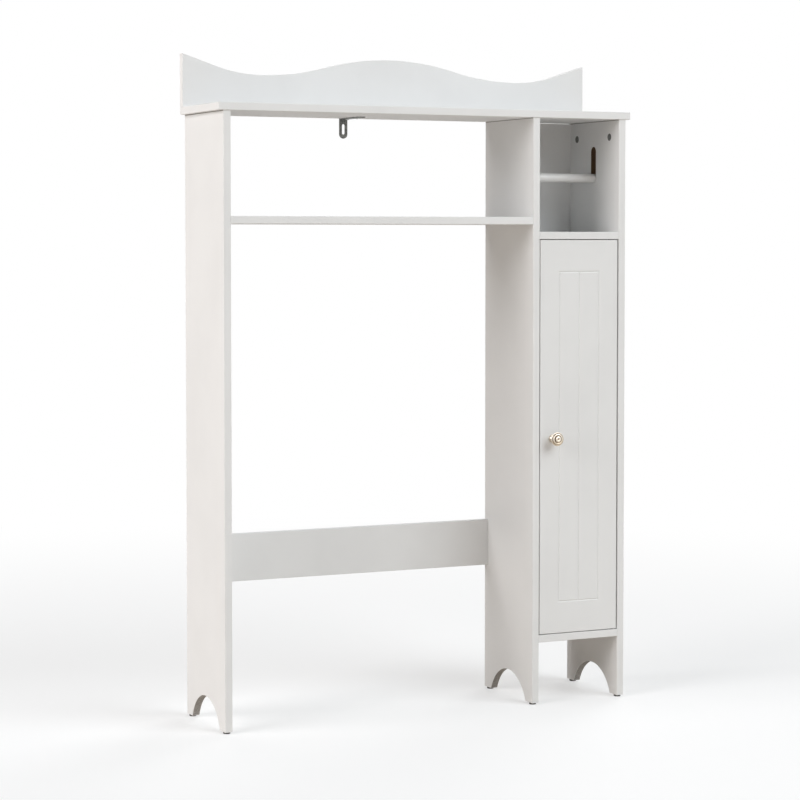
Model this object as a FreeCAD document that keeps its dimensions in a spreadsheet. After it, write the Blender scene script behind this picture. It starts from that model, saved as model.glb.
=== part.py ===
"""Tall storage cabinet: an open bay between two panels, a shelf above it, and a narrow cupboard beside it.

Millimetres. X runs to the right, Y from front to back, Z up. The origin is on the floor, under the middle
of the whole cabinet. Every piece is bound to the sheet of sizes below.
"""
import FreeCAD, Part
import os
import re
from math import asin, pi, radians, sin, tan

import Sketcher

SIZES = [
    # Boards
    ("carcass_width", 880, "outside to outside of the side panels"),
    ("column_width", 184, "clear width of the cupboard and the paper cubby"),
    ("panel_depth", 210, "front to back of the upright panels"),
    ("board_thickness", 15, "every painted board"),
    ("edge_radius", 1, "eased edges of the painted boards"),
    ("top_height", 1190, "floor to the underside of the top board"),
    ("top_side_overhang", 10, "top board beyond each side panel"),
    ("top_front_overhang", 2, "top board beyond the panel fronts"),
    ("shelf_drop", 214.8, "underside of the top board to the underside of the open shelf"),
    ("cubby_drop", 244.4, "underside of the top board to the underside of the paper cubby's floor"),
    ("bottom_board_height", 127, "floor to the underside of the cupboard's bottom"),
    ("rail_height", 263, "floor to the lower edge of the back rail"),
    ("rail_width", 95, "lower to upper edge of the back rail"),
    # Feet
    ("arch_radius", 80.5, "round arch between the two feet of a panel"),
    ("arch_height", 57, "floor to the crown of the arch"),
    ("glide_height", 4, "floor to the panel's lower edge"),
    ("glide_radius", 7, "glide under a foot"),
    ("glide_inset", 12, "panel's front or back edge to the middle of a glide"),
    ("glide_nail_radius", 1.1, "nail of a glide"),
    ("glide_nail_length", 14, "nail of a glide"),
    # Back splash
    ("splash_end_height", 105, "horn at each end"),
    ("splash_crest_height", 105, "crest in the middle"),
    ("splash_trough_height", 67, "lowest place of the wave"),
    ("splash_trough_share", 0.3167, "middle of the splash to a trough, as a share of its width"),
    ("splash_straight_share", 0.0789, "straight stretch next to each end, as a share of its width"),
    ("splash_screw_share", 0.2889, "from screw to screw, with a dowel between, as a share of its width"),
    # Cupboard back
    ("back_thickness", 3, "thin back panel"),
    ("back_inset", 5, "back panel to the rear edges of its two upright panels"),
    ("back_groove_depth", 4, "groove that the back panel slides in"),
    ("back_top_gap", 1, "back panel to the top board"),
    ("slide_clearance", 0.1, "play of a piece that slides into its groove"),
    # Inner shelves
    ("inner_shelf_setback", 8, "closed door to the front of an inner shelf"),
    ("inner_shelf_clearance", 0.75, "inner shelf to the wall at each end"),
    ("lower_shelf_height", 395, "floor to the underside of the lower inner shelf"),
    ("upper_shelf_height", 670, "floor to the underside of the upper inner shelf"),
    ("pin_radius", 2.5, "shelf pin"),
    ("pin_depth", 9, "shelf pin inside its panel"),
    ("pin_reach", 8, "shelf pin standing out of its panel"),
    ("pin_collar_radius", 4, "collar of a shelf pin"),
    ("pin_collar_width", 1.5, "collar of a shelf pin"),
    ("pin_pitch", 32, "from one pin hole to the next"),
    ("pin_inset", 35, "inner shelf's front or back edge to a pin"),
    # Door and its pivots
    ("door_thickness", 15, "inset door"),
    ("door_gap", 1.5, "gap above and below the door"),
    ("latch_gap", 1.8, "gap beside the door's free edge"),
    ("sweep_clearance", 0.6, "least gap of the turning edge to the right side panel"),
    ("pivot_inset", 10.5, "door's hung edge to the pivot"),
    ("pivot_radius", 3, "pivot pin"),
    ("pivot_depth", 14, "pivot pin inside the door"),
    ("bush_radius", 5, "pivot bush"),
    ("bush_depth", 11, "pivot bush inside its board"),
    ("bush_flange_radius", 6.5, "flange of a pivot bush"),
    ("running_clearance", 0.05, "pivot pin in its bush, on the radius"),
    ("seat_clearance", 0.3, "moving piece to what carries it"),
    ("groove_side_margin", 44, "door's side to the routed line"),
    ("groove_end_margin", 64.5, "door's top or bottom to the routed line"),
    ("groove_width", 4, "routed line at the door's face"),
    ("groove_depth", 1.2, "routed line"),
    # Knob
    ("knob_projection", 27, "door's face to the front of the knob"),
    ("knob_inset", 28.2, "door's free edge to the middle of the knob"),
    ("knob_drop", 1.8, "half the door's height to the middle of the knob"),
    ("knob_radius", 14, "head of the knob"),
    ("knob_head_height", 8, "head of the knob, with its ridges"),
    ("knob_ridge_radius", 1.7, "section of the ridges on the head"),
    ("knob_ridge_pitch", 3.2, "from ridge to ridge, across"),
    ("knob_ridge_step", 1.1, "from ridge to ridge, outwards"),
    ("knob_dome_radius", 4, "dome in the middle of the head"),
    ("knob_neck_radius", 4.5, "neck at its thinnest"),
    ("knob_base_radius", 8.5, "base on the door"),
    ("knob_base_height", 2.5, "base on the door"),
    ("knob_swell_radius", 6.8, "foot of the neck"),
    ("knob_flare_radius", 10, "neck where it meets the head"),
    ("knob_screw_radius", 2, "screw from inside the door"),
    ("knob_screw_grip", 11, "screw inside the knob"),
    ("knob_screw_head_radius", 4, "its round head"),
    ("knob_screw_head_height", 2.4, "its round head"),
    # Magnetic catch
    ("catch_length", 46, "housing with its two ears"),
    ("catch_depth", 14, "housing, front to back"),
    ("catch_height", 12, "housing under the cubby floor"),
    ("catch_ear_length", 10, "ear at each end of the housing"),
    ("catch_ear_height", 4, "ear at each end of the housing"),
    ("catch_offset", 12, "middle panel to the housing"),
    ("magnet_length", 20, "magnet with its pole plates"),
    ("magnet_height", 7, "magnet with its pole plates"),
    ("magnet_depth", 9, "magnet, front to back"),
    ("magnet_reach", 0.8, "magnet standing out of the housing"),
    ("strike_length", 38, "steel plate on the door"),
    ("strike_height", 11, "steel plate on the door"),
    ("strike_thickness", 1.2, "steel plate on the door"),
    ("strike_edge_gap", 0.5, "strike plate to the door's top edge"),
    ("strike_screw_inset", 5, "strike plate's end to a screw"),
    # Paper rod
    ("rod_radius", 9, "paper rod"),
    ("rod_engagement", 4, "rod inside the slot at each end"),
    ("slot_radius", 10.5, "half the width of the slot"),
    ("slot_depth", 9, "slot in the panel's face"),
    ("slot_drop", 52, "underside of the top board to the upper end of the slot"),
    ("slot_length", 75, "slot from end to end"),
    # Joining hardware
    ("cam_setback", 34.5, "board's end to the middle of a cam nut"),
    ("cam_radius", 7.5, "cam nut"),
    ("cam_depth", 11.5, "cam nut"),
    ("cam_front_inset", 40, "panel fronts to the front row of cam nuts"),
    ("cam_back_inset", 36, "panel backs to the back row of cam nuts"),
    ("bolt_radius", 3, "thread of a cam bolt"),
    ("bolt_thread_length", 10, "thread of a cam bolt"),
    ("bolt_shank_radius", 2.5, "shank of a cam bolt"),
    ("bolt_head_radius", 3.4, "head of a cam bolt"),
    ("bolt_head_length", 4, "head of a cam bolt"),
    ("dowel_radius", 4, "wooden dowel"),
    ("dowel_face_depth", 10, "dowel in the face of a board"),
    ("dowel_edge_depth", 20, "dowel in the edge of a board"),
    ("rail_dowel_offset", 28, "middle of the back rail to a dowel"),
    ("fit_clearance", 0.05, "hardware in its hole, on the radius"),
    ("recess_width", 1.2, "arm of a cross recess"),
    ("recess_depth", 1.4, "cross recess"),
    ("recess_share", 0.6, "arm of a cross recess, as a share of its head's radius"),
    ("tunnel_clearance", 0.2, "head of a cam bolt in its tunnel"),
    # Screws
    ("splash_screw_radius", 2, "screw of the back splash"),
    ("splash_screw_length", 38, "screw of the back splash"),
    ("splash_head_radius", 4, "countersunk head"),
    ("splash_head_height", 2.6, "countersunk head"),
    ("small_screw_radius", 1.75, "screw of the bracket and the catch"),
    ("small_screw_length", 10, "screw of the bracket and the catch, inside the board"),
    ("small_head_radius", 3.5, "its round head"),
    ("small_head_height", 2.2, "its round head"),
    ("strike_screw_radius", 1.4, "screw of the strike plate"),
    ("strike_screw_length", 10, "screw of the strike plate"),
    ("strike_head_radius", 2.6, "its countersunk head"),
    # Wall bracket
    ("bracket_width", 18, "wall bracket"),
    ("bracket_thickness", 2, "wall bracket"),
    ("bracket_leg", 90, "leg under the top board"),
    ("bracket_drop", 40.5, "leg against the wall"),
    ("bracket_slot_radius", 3, "half the width of the bracket's slot"),
    ("bracket_slot_length", 21, "bracket's slot from end to end"),
    ("bracket_slot_low", 8.3, "lower end of the bracket to its slot"),
    ("bracket_screw_inset", 22, "wall to the first screw"),
    ("bracket_screw_spacing", 46, "from screw to screw"),
]

# Places that several pieces share, as formulas of the sizes
LEFT_FACE = "(-carcass_width / 2)"
BAY_LEFT = "(-carcass_width / 2 + board_thickness)"
BAY_RIGHT = "(carcass_width / 2 - 2 * board_thickness - column_width)"
BAY_WIDTH = "(carcass_width - 3 * board_thickness - column_width)"
COLUMN_LEFT = "(carcass_width / 2 - board_thickness - column_width)"
COLUMN_RIGHT = "(carcass_width / 2 - board_thickness)"
SHELF_LEVEL = "(top_height - shelf_drop)"
CUBBY_LEVEL = "(top_height - cubby_drop)"
FRONT = "((knob_projection - panel_depth) / 2)"
BACK = "((knob_projection + panel_depth) / 2)"
MIDDLE_DEPTH = "(knob_projection / 2)"
BACK_PANEL_FRONT = f"({BACK} - back_inset - back_thickness)"
FITTED_DEPTH = "(panel_depth - back_inset - back_thickness - slide_clearance)"
PANEL_LENGTH = "(top_height - glide_height)"
HALF_BOARD = "(board_thickness / 2)"
TOP_FACE = "(top_height + board_thickness)"
TOP_WIDTH = "(carcass_width + 2 * top_side_overhang)"
SPLASH_TROUGH = f"(splash_trough_share * {TOP_WIDTH})"
SPLASH_STRAIGHT = f"(splash_straight_share * {TOP_WIDTH})"
SPLASH_PITCH = f"(splash_screw_share * {TOP_WIDTH})"
HUNG_GAP = "(sqrt(pivot_inset ^ 2 + (door_thickness / 2) ^ 2) - pivot_inset + sweep_clearance)"
DOOR_LEFT = f"({COLUMN_LEFT} + latch_gap)"
DOOR_WIDTH = f"(column_width - latch_gap - {HUNG_GAP})"
DOOR_LOW = "(bottom_board_height + board_thickness + door_gap)"
DOOR_HIGH = f"({CUBBY_LEVEL} - door_gap)"
DOOR_LENGTH = f"({DOOR_HIGH} - {DOOR_LOW})"
DOOR_INSIDE = f"({FRONT} + door_thickness)"
PIVOT_X = f"({COLUMN_RIGHT} - {HUNG_GAP} - pivot_inset)"
PIVOT_Y = f"({FRONT} + door_thickness / 2)"
KNOB_X = f"({DOOR_LEFT} + knob_inset)"
KNOB_Z = f"(({DOOR_LOW} + {DOOR_HIGH}) / 2 - knob_drop)"
CATCH_MIDDLE = f"({COLUMN_LEFT} + catch_offset + catch_length / 2)"
CATCH_FRONT = f"({DOOR_INSIDE} + strike_thickness + seat_clearance + magnet_reach)"
BAY_MIDDLE = f"(({BAY_LEFT} + {BAY_RIGHT}) / 2)"
CAM_ROWS = {
    "front": f"({FRONT} + cam_front_inset)",
    "back": f"({BACK} - cam_back_inset)",
}

ORIGIN = ("0", "0", "0")

DIRECTIONS = {
    "+x": FreeCAD.Vector(1, 0, 0),
    "-x": FreeCAD.Vector(-1, 0, 0),
    "+y": FreeCAD.Vector(0, 1, 0),
    "-y": FreeCAD.Vector(0, -1, 0),
    "+z": FreeCAD.Vector(0, 0, 1),
    "-z": FreeCAD.Vector(0, 0, -1),
}
ALONG = {
    "x": FreeCAD.Rotation(FreeCAD.Vector(0, 1, 0), 90),
    "y": FreeCAD.Rotation(FreeCAD.Vector(1, 0, 0), -90),
    "z": FreeCAD.Rotation(),
}
PLACES = {
    "x": "Placement.Base.x",
    "y": "Placement.Base.y",
    "z": "Placement.Base.z",
}

doc = FreeCAD.newDocument("toilet_storage_cabinet")
dims = doc.addObject("Spreadsheet::Sheet", "dims")
for row, (alias, value, note) in enumerate(SIZES, start=1):
    dims.set(f"A{row}", note)
    dims.set(f"B{row}", str(value))
    dims.setAlias(f"B{row}", alias)
doc.recompute()

NAMES = re.compile(r"\b(" + "|".join(alias for alias, value, note in SIZES) + r")\b")
pieces = {}


def formula(text):
    """A formula of the sizes, with each name pointing to its cell."""
    return NAMES.sub(r"dims.\1", text)


def bind(thing, **formulas):
    """Ties properties, or x, y and z of the place, to formulas of the sizes."""
    for name, text in formulas.items():
        thing.setExpression(PLACES.get(name, name), formula(text))
    return thing


def keep(node, thing):
    """Names a finished piece, so that it gets a file of its own."""
    thing.Label = node
    pieces[node] = thing
    return thing


def box(name, corner, size):
    """A box from its low corner."""
    made = doc.addObject("Part::Box", name)
    x, y, z = corner
    length, width, height = size
    return bind(made, x=x, y=y, z=z, Length=length, Width=width, Height=height)


def cylinder(name, along, start, radius, length):
    """A round bar from the middle of its first end, towards plus X, Y or Z."""
    made = doc.addObject("Part::Cylinder", name)
    made.Placement = FreeCAD.Placement(FreeCAD.Vector(), ALONG[along])
    x, y, z = start
    return bind(made, x=x, y=y, z=z, Radius=radius, Height=length)


def cone(name, start, first_radius, last_radius, length):
    """A cone along plus Z."""
    made = doc.addObject("Part::Cone", name)
    x, y, z = start
    return bind(made, x=x, y=y, z=z, Radius1=first_radius, Radius2=last_radius, Height=length)


def hole(name, radius, length):
    """A hole along plus Z, for a pin or screw of this radius and length."""
    return cylinder(name, "z", ORIGIN, f"{radius} + fit_clearance", f"{length} + fit_clearance")


def fuse(name, *solids):
    made = doc.addObject("Part::MultiFuse", name)
    made.Shapes = list(solids)
    return made


def group(name, solids):
    """Separate solids that share one name."""
    made = doc.addObject("Part::Compound", name)
    made.Links = list(solids)
    return made


def cut(name, base, tools):
    made = doc.addObject("Part::Cut", name)
    made.Base = base
    made.Tool = tools[0] if len(tools) == 1 else group(name + "_cuts", tools)
    return made


def turn(mouth, into):
    """The rotation that points a piece's own X axis to mouth and its own Z axis to into."""
    x = DIRECTIONS[mouth]
    z = DIRECTIONS[into]
    return FreeCAD.Rotation(x, z.cross(x), z, "ZXY")


def seat(thing, place, mouth="+x", into="+z"):
    """Moves a piece from the origin to its place, turned the way that mouth and into say."""
    thing.Placement = FreeCAD.Placement(FreeCAD.Vector(), turn(mouth, into))
    x, y, z = place
    return bind(thing, x=x, y=y, z=z)


def copy_of(name, master, place, mouth="+x", into="+z"):
    """One more of a piece that is drawn once at the origin."""
    made = doc.addObject("App::Link", name)
    made.LinkedObject = master
    made.LinkTransform = True
    return seat(made, place, mouth, into)


# Painted boards

def board(name, corner, size, eased):
    """A board with eased edges. eased picks them by the edge's middle, in shares of the board's size."""
    body = doc.addObject("PartDesign::Body", name + "_blank")
    blank = body.newObject("PartDesign::AdditiveBox", name + "_box")
    length, width, height = size
    bind(blank, Length=length, Width=width, Height=height)
    x, y, z = corner
    bind(body, x=x, y=y, z=z)
    doc.recompute()
    limits = blank.Shape.BoundBox
    chosen = []
    for number, edge in enumerate(blank.Shape.Edges, start=1):
        middle = edge.BoundBox.Center
        share = (
            round((middle.x - limits.XMin) / limits.XLength, 2),
            round((middle.y - limits.YMin) / limits.YLength, 2),
            round((middle.z - limits.ZMin) / limits.ZLength, 2),
        )
        if eased(*share):
            chosen.append(f"Edge{number}")
    rounded = body.newObject("PartDesign::Fillet", name + "_eased")
    rounded.Base = (blank, chosen)
    bind(rounded, Radius="edge_radius")
    body.Tip = rounded
    return body


def front_edges(x, y, z):
    """The two long edges of a lying board's front."""
    return x == 0.5 and y == 0


def upright_edges(x, y, z):
    """The four long edges of an upright panel."""
    return z == 0.5


def long_edges(x, y, z):
    """The four edges that run along X."""
    return x == 0.5


def all_edges(x, y, z):
    return True


def upright(name, left):
    """A tall panel that stands on its glides."""
    size = ("board_thickness", "panel_depth", PANEL_LENGTH)
    return board(name, (left, FRONT, "glide_height"), size, upright_edges)


TOP_DEPTH = "(panel_depth + top_front_overhang)"
blanks = {
    "left_side_panel": upright("left_side_panel", LEFT_FACE),
    "middle_panel": upright("middle_panel", BAY_RIGHT),
    "right_side_panel": upright("right_side_panel", COLUMN_RIGHT),
    "top_board": board(
        "top_board",
        (f"{LEFT_FACE} - top_side_overhang", f"{FRONT} - top_front_overhang", "top_height"),
        (TOP_WIDTH, TOP_DEPTH, "board_thickness"),
        all_edges,
    ),
    "open_shelf": board(
        "open_shelf",
        (BAY_LEFT, FRONT, SHELF_LEVEL),
        (BAY_WIDTH, "panel_depth", "board_thickness"),
        long_edges,
    ),
    "paper_cubby_floor": board(
        "paper_cubby_floor",
        (COLUMN_LEFT, FRONT, CUBBY_LEVEL),
        ("column_width", FITTED_DEPTH, "board_thickness"),
        front_edges,
    ),
    "cabinet_bottom_board": board(
        "cabinet_bottom_board",
        (COLUMN_LEFT, FRONT, "bottom_board_height"),
        ("column_width", FITTED_DEPTH, "board_thickness"),
        front_edges,
    ),
    "lower_back_rail": board(
        "lower_back_rail",
        (BAY_LEFT, f"{BACK} - board_thickness", "rail_height"),
        (BAY_WIDTH, "board_thickness", "rail_width"),
        long_edges,
    ),
    "door_panel": board(
        "door_panel",
        (DOOR_LEFT, FRONT, DOOR_LOW),
        (DOOR_WIDTH, "door_thickness", DOOR_LENGTH),
        all_edges,
    ),
}
cuts = {name: [] for name in blanks}
cuts["back_splash"] = []


# Back splash: a wave of tangent arcs between two horns

def splash_profile(sketch):
    """Draws the outline from its sizes and ties it to them. The outer arc of each trough runs into a
    straight stretch, and its angle is found by halving steps."""
    width = dims.carcass_width + 2 * dims.top_side_overhang
    half = width / 2
    end, crest, low = dims.splash_end_height, dims.splash_crest_height, dims.splash_trough_height
    trough, straight = dims.splash_trough_share * width, dims.splash_straight_share * width
    swing = ((trough / 2) ** 2 + ((crest - low) / 2) ** 2) / (crest - low)
    arc_run = half - trough - straight
    flat, steep = 0.0, radians(80)
    for step in range(60):
        angle = (flat + steep) / 2
        if arc_run * tan(angle / 2) + straight * tan(angle) < end - low:
            flat = angle
        else:
            steep = angle
    outer = arc_run / sin(angle)
    lean = asin(trough / 2 / swing)
    down, up = -pi / 2, pi / 2

    def point(x, z):
        return FreeCAD.Vector(x, z, 0)

    def arc(x, z, radius, first, last):
        circle = Part.Circle(point(x, z), FreeCAD.Vector(0, 0, 1), radius)
        return Part.ArcOfCircle(circle, first, last)

    bend_z = end - straight * tan(angle)
    corners = [point(-half, 0), point(half, 0), point(half, end), point(half - straight, bend_z)]
    mirrored = [point(-p.x, p.y) for p in corners]
    bottom, right_end, right_slope = (
        sketch.addGeometry(Part.LineSegment(corners[i], corners[i + 1])) for i in range(3)
    )
    right_outer = sketch.addGeometry(arc(trough, low + outer, outer, down, down + angle))
    right_inner = sketch.addGeometry(arc(trough, low + swing, swing, down - lean, down))
    right_crest = sketch.addGeometry(arc(0, crest - swing, swing, up - lean, up))
    left_crest = sketch.addGeometry(arc(0, crest - swing, swing, up, up + lean))
    left_inner = sketch.addGeometry(arc(-trough, low + swing, swing, down, down + lean))
    left_outer = sketch.addGeometry(arc(-trough, low + outer, outer, down - angle, down))
    left_slope = sketch.addGeometry(Part.LineSegment(mirrored[3], mirrored[2]))
    left_end = sketch.addGeometry(Part.LineSegment(mirrored[2], mirrored[1]))

    first, last, centre = 1, 2, 3
    origin, upright_axis = -1, -2

    def add(*words):
        return sketch.addConstraint(Sketcher.Constraint(*words))

    for a, b in ((bottom, right_end), (right_end, right_slope), (left_slope, left_end), (left_end, bottom)):
        add("Coincident", a, last, b, first)
    smooth = (
        (right_slope, last, right_outer, last),
        (right_outer, first, right_inner, last),
        (right_inner, first, right_crest, first),
        (right_crest, last, left_crest, first),
        (left_crest, last, left_inner, last),
        (left_inner, first, left_outer, last),
        (left_outer, first, left_slope, first),
    )
    for words in smooth:
        add("Tangent", *words)
    add("Horizontal", bottom)
    add("Vertical", right_end)
    add("Vertical", left_end)
    add("Symmetric", bottom, first, bottom, last, origin, first)
    add("Equal", right_end, left_end)
    add("Equal", right_slope, left_slope)
    add("Equal", right_inner, right_crest)
    add("Equal", left_inner, left_crest)
    add("PointOnObject", right_crest, last, upright_axis)
    add("PointOnObject", right_crest, centre, upright_axis)
    add("Symmetric", right_outer, first, left_outer, last, upright_axis)
    add("Vertical", right_outer, first, right_outer, centre)
    add("Vertical", left_outer, last, left_outer, centre)
    sized = {
        add("DistanceX", bottom, first, bottom, last, width): TOP_WIDTH,
        add("DistanceY", right_end, first, right_end, last, end): "splash_end_height",
        add("DistanceX", right_slope, last, right_slope, first, straight): SPLASH_STRAIGHT,
        add("DistanceY", origin, first, right_crest, last, crest): "splash_crest_height",
        add("DistanceY", origin, first, right_outer, first, low): "splash_trough_height",
        add("DistanceX", origin, first, right_outer, first, trough): SPLASH_TROUGH,
    }
    for number, text in sized.items():
        sketch.setExpression(f"Constraints[{number}]", formula(text))


def back_splash():
    body = doc.addObject("PartDesign::Body", "back_splash_blank")
    sketch = body.newObject("Sketcher::SketchObject", "back_splash_outline")
    plane = next(p for p in body.Origin.OriginFeatures if p.Role == "XZ_Plane")
    sketch.AttachmentSupport = [(plane, "")]
    sketch.MapMode = "FlatFace"
    splash_profile(sketch)
    pad = body.newObject("PartDesign::Pad", "back_splash_pad")
    pad.Profile = sketch
    bind(pad, Length="board_thickness")
    bind(body, x="0", y=BACK, z=TOP_FACE)
    doc.recompute()
    chosen = []
    for number, edge in enumerate(pad.Shape.Edges, start=1):
        limits = edge.BoundBox
        across = limits.YLength > dims.edge_radius
        if not across and limits.ZMax > dims.edge_radius:
            chosen.append(f"Edge{number}")
    rounded = body.newObject("PartDesign::Fillet", "back_splash_eased")
    rounded.Base = (pad, chosen)
    bind(rounded, Radius="edge_radius")
    body.Tip = rounded
    return body


blanks["back_splash"] = back_splash()


# Cam nuts, cam bolts and dowels. Each is drawn at the origin: plus Z runs into the face of one board,
# minus Z into the edge of the other, and the cam nut opens towards plus X.

CAM_LOW = f"({HALF_BOARD} - cam_depth)"
CAM_CENTRE = "(-cam_setback)"
BOLT_END = "(-cam_setback - bolt_head_length / 2)"
TUNNEL_RADIUS = "(bolt_head_radius + tunnel_clearance)"
TUNNEL_END = f"({BOLT_END} - tunnel_clearance)"


def cross_recess(name, along, place, head_radius):
    """Two crossed arms, to be cut into the head of a screw or a cam nut."""
    x, y, z = place
    half = "recess_width / 2"
    reach = f"recess_share * {head_radius}"
    arm = f"(2 * {reach})"
    if along == "x":
        corners = ((x, f"{y} - {half}", f"{z} - {reach}"), (x, f"{y} - {reach}", f"{z} - {half}"))
        sizes = (("recess_depth", "recess_width", arm), ("recess_depth", arm, "recess_width"))
    else:
        corners = ((f"{x} - {half}", f"{y} - {reach}", z), (f"{x} - {reach}", f"{y} - {half}", z))
        sizes = (("recess_width", arm, "recess_depth"), (arm, "recess_width", "recess_depth"))
    return fuse(name, box(name + "_a", corners[0], sizes[0]), box(name + "_b", corners[1], sizes[1]))


def cam_nut():
    disc = cylinder("cam_nut_disc", "x", (CAM_LOW, "0", CAM_CENTRE), "cam_radius", "cam_depth")
    tunnel = cylinder("cam_nut_tunnel", "z", ("0", "0", TUNNEL_END), TUNNEL_RADIUS, f"(-{TUNNEL_END})")
    recess_place = (f"{HALF_BOARD} - recess_depth", "0", CAM_CENTRE)
    recess = cross_recess("cam_nut_recess", "x", recess_place, "cam_radius")
    return cut("cam_nut", disc, [tunnel, recess])


def cam_bolt():
    thread = cylinder("cam_bolt_thread", "z", ORIGIN, "bolt_radius", "bolt_thread_length")
    shank = cylinder("cam_bolt_shank", "z", ("0", "0", CAM_CENTRE), "bolt_shank_radius", "cam_setback")
    head = cylinder("cam_bolt_head", "z", ("0", "0", BOLT_END), "bolt_head_radius", "bolt_head_length")
    return fuse("cam_bolt", thread, shank, head)


def cam_cut():
    thread = hole("cam_cut_thread", "bolt_radius", "bolt_thread_length")
    channel = cylinder("cam_cut_channel", "z", ("0", "0", TUNNEL_END), TUNNEL_RADIUS, f"(-{TUNNEL_END})")
    pocket = cylinder(
        "cam_cut_pocket",
        "x",
        (f"{CAM_LOW} - fit_clearance", "0", CAM_CENTRE),
        "cam_radius + fit_clearance",
        "cam_depth + 2 * fit_clearance",
    )
    return fuse("cam_cut", thread, channel, pocket)


def dowel(name, extra):
    """A dowel, or with some extra on every side the hole for it."""
    return cylinder(
        name,
        "z",
        ("0", "0", f"(-dowel_edge_depth - {extra})"),
        f"dowel_radius + {extra}",
        f"(dowel_edge_depth + dowel_face_depth + 2 * {extra})",
    )


masters = {
    "cam_nut": cam_nut(),
    "cam_bolt": cam_bolt(),
    "cam_cut": cam_cut(),
    "dowel": dowel("dowel", "0"),
    "dowel_cut": dowel("dowel_cut", "fit_clearance"),
}
copies = {"cam_lock_nuts": [], "cam_bolts": [], "wood_dowels": []}


def cam_joint(edge_board, face_board, place, mouth, into):
    """A bolt in face_board that a cam nut in edge_board pulls tight."""
    number = len(copies["cam_lock_nuts"]) + 1
    copies["cam_lock_nuts"].append(copy_of(f"cam_nut_{number}", masters["cam_nut"], place, mouth, into))
    copies["cam_bolts"].append(copy_of(f"cam_bolt_{number}", masters["cam_bolt"], place, mouth, into))
    opening = copy_of(f"cam_cut_{number}", masters["cam_cut"], place, mouth, into)
    cuts[edge_board].append(opening)
    cuts[face_board].append(opening)


def dowel_joint(edge_board, face_board, place, mouth, into):
    """A dowel from the edge of one board into the face of the other."""
    number = len(copies["wood_dowels"]) + 1
    copies["wood_dowels"].append(copy_of(f"dowel_{number}", masters["dowel"], place, mouth, into))
    opening = copy_of(f"dowel_cut_{number}", masters["dowel_cut"], place, mouth, into)
    cuts[edge_board].append(opening)
    cuts[face_board].append(opening)


def join_top():
    """Each upright panel to the top board. The cam nuts of the side panels face inwards."""
    uprights = {
        "left_side_panel": (LEFT_FACE, "+x"),
        "middle_panel": (BAY_RIGHT, "+x"),
        "right_side_panel": (COLUMN_RIGHT, "-x"),
    }
    for panel, (face, mouth) in uprights.items():
        middle = f"({face} + {HALF_BOARD})"
        for depth in CAM_ROWS.values():
            cam_joint(panel, "top_board", (middle, depth, "top_height"), mouth, "+z")
        dowel_joint(panel, "top_board", (middle, MIDDLE_DEPTH, "top_height"), mouth, "+z")


def join_lying_boards():
    """Shelf, cubby floor and cupboard bottom to the panels at their ends, with the cam nuts underneath."""
    bay = (("left_side_panel", BAY_LEFT), ("middle_panel", BAY_RIGHT))
    column = (("middle_panel", COLUMN_LEFT), ("right_side_panel", COLUMN_RIGHT))
    lying = {
        "open_shelf": (SHELF_LEVEL, bay),
        "paper_cubby_floor": (CUBBY_LEVEL, column),
        "cabinet_bottom_board": ("bottom_board_height", column),
    }
    for name, (height, ends) in lying.items():
        level = f"({height} + {HALF_BOARD})"
        for (panel, face), into in zip(ends, ("-x", "+x")):
            for depth in CAM_ROWS.values():
                cam_joint(name, panel, (face, depth, level), "-z", into)
            dowel_joint(name, panel, (face, MIDDLE_DEPTH, level), "-z", into)


def join_rail():
    """Back rail to its two panels: a cam nut in its back, between two dowels."""
    depth = f"({BACK} - {HALF_BOARD})"
    middle = "(rail_height + rail_width / 2)"
    for panel, face, into in (("left_side_panel", BAY_LEFT, "-x"), ("middle_panel", BAY_RIGHT, "+x")):
        cam_joint("lower_back_rail", panel, (face, depth, middle), "+y", into)
        for sign in "+-":
            place = (face, depth, f"({middle} {sign} rail_dowel_offset)")
            dowel_joint("lower_back_rail", panel, place, "+y", into)


# Screws. Each is drawn at the origin with its thread along plus Z and its head on the plane z = 0.

def round_head_screw(name, head_radius, head_height, radius, length):
    head = cylinder(name + "_head", "z", ("0", "0", f"(-{head_height})"), head_radius, head_height)
    shank = cylinder(name + "_shank", "z", ORIGIN, radius, length)
    recess = cross_recess(name + "_recess", "z", ("0", "0", f"(-{head_height})"), head_radius)
    return cut(name, fuse(name + "_whole", head, shank), [recess])


def countersunk_screw(name, head_radius, head_height, radius, length):
    head = cone(name + "_head", ORIGIN, head_radius, radius, head_height)
    shank = cylinder(name + "_shank", "z", ORIGIN, radius, length)
    recess = cross_recess(name + "_recess", "z", ORIGIN, head_radius)
    return cut(name, fuse(name + "_whole", head, shank), [recess])


def countersunk_hole(name, head_radius, head_height, radius, length):
    wide, narrow = f"{head_radius} + fit_clearance", f"{radius} + fit_clearance"
    mouth = cone(name + "_mouth", ORIGIN, wide, narrow, head_height)
    return fuse(name, mouth, hole(name + "_shank", radius, length))


SPLASH_SCREW = ("splash_head_radius", "splash_head_height", "splash_screw_radius", "splash_screw_length")
SMALL_SCREW = ("small_head_radius", "small_head_height", "small_screw_radius")
masters["splash_screw"] = countersunk_screw("splash_screw", *SPLASH_SCREW)
masters["splash_screw_cut"] = countersunk_hole("splash_screw_cut", *SPLASH_SCREW)


def join_splash():
    """Back splash to the top board: screws from below, with dowels between them."""
    depth = f"({BACK} - {HALF_BOARD})"
    screws = []
    for number, share in enumerate((-1.5, -0.5, 0.5, 1.5), start=1):
        place = (f"({share} * {SPLASH_PITCH})", depth, "top_height")
        screws.append(copy_of(f"splash_screw_{number}", masters["splash_screw"], place))
        opening = copy_of(f"splash_screw_cut_{number}", masters["splash_screw_cut"], place)
        cuts["top_board"].append(opening)
        cuts["back_splash"].append(opening)
    for share in (-1, 0, 1):
        place = (f"({share} * {SPLASH_PITCH})", depth, TOP_FACE)
        dowel_joint("back_splash", "top_board", place, "+x", "-z")
    keep("backsplash_screws", group("backsplash_screws", screws))


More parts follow.
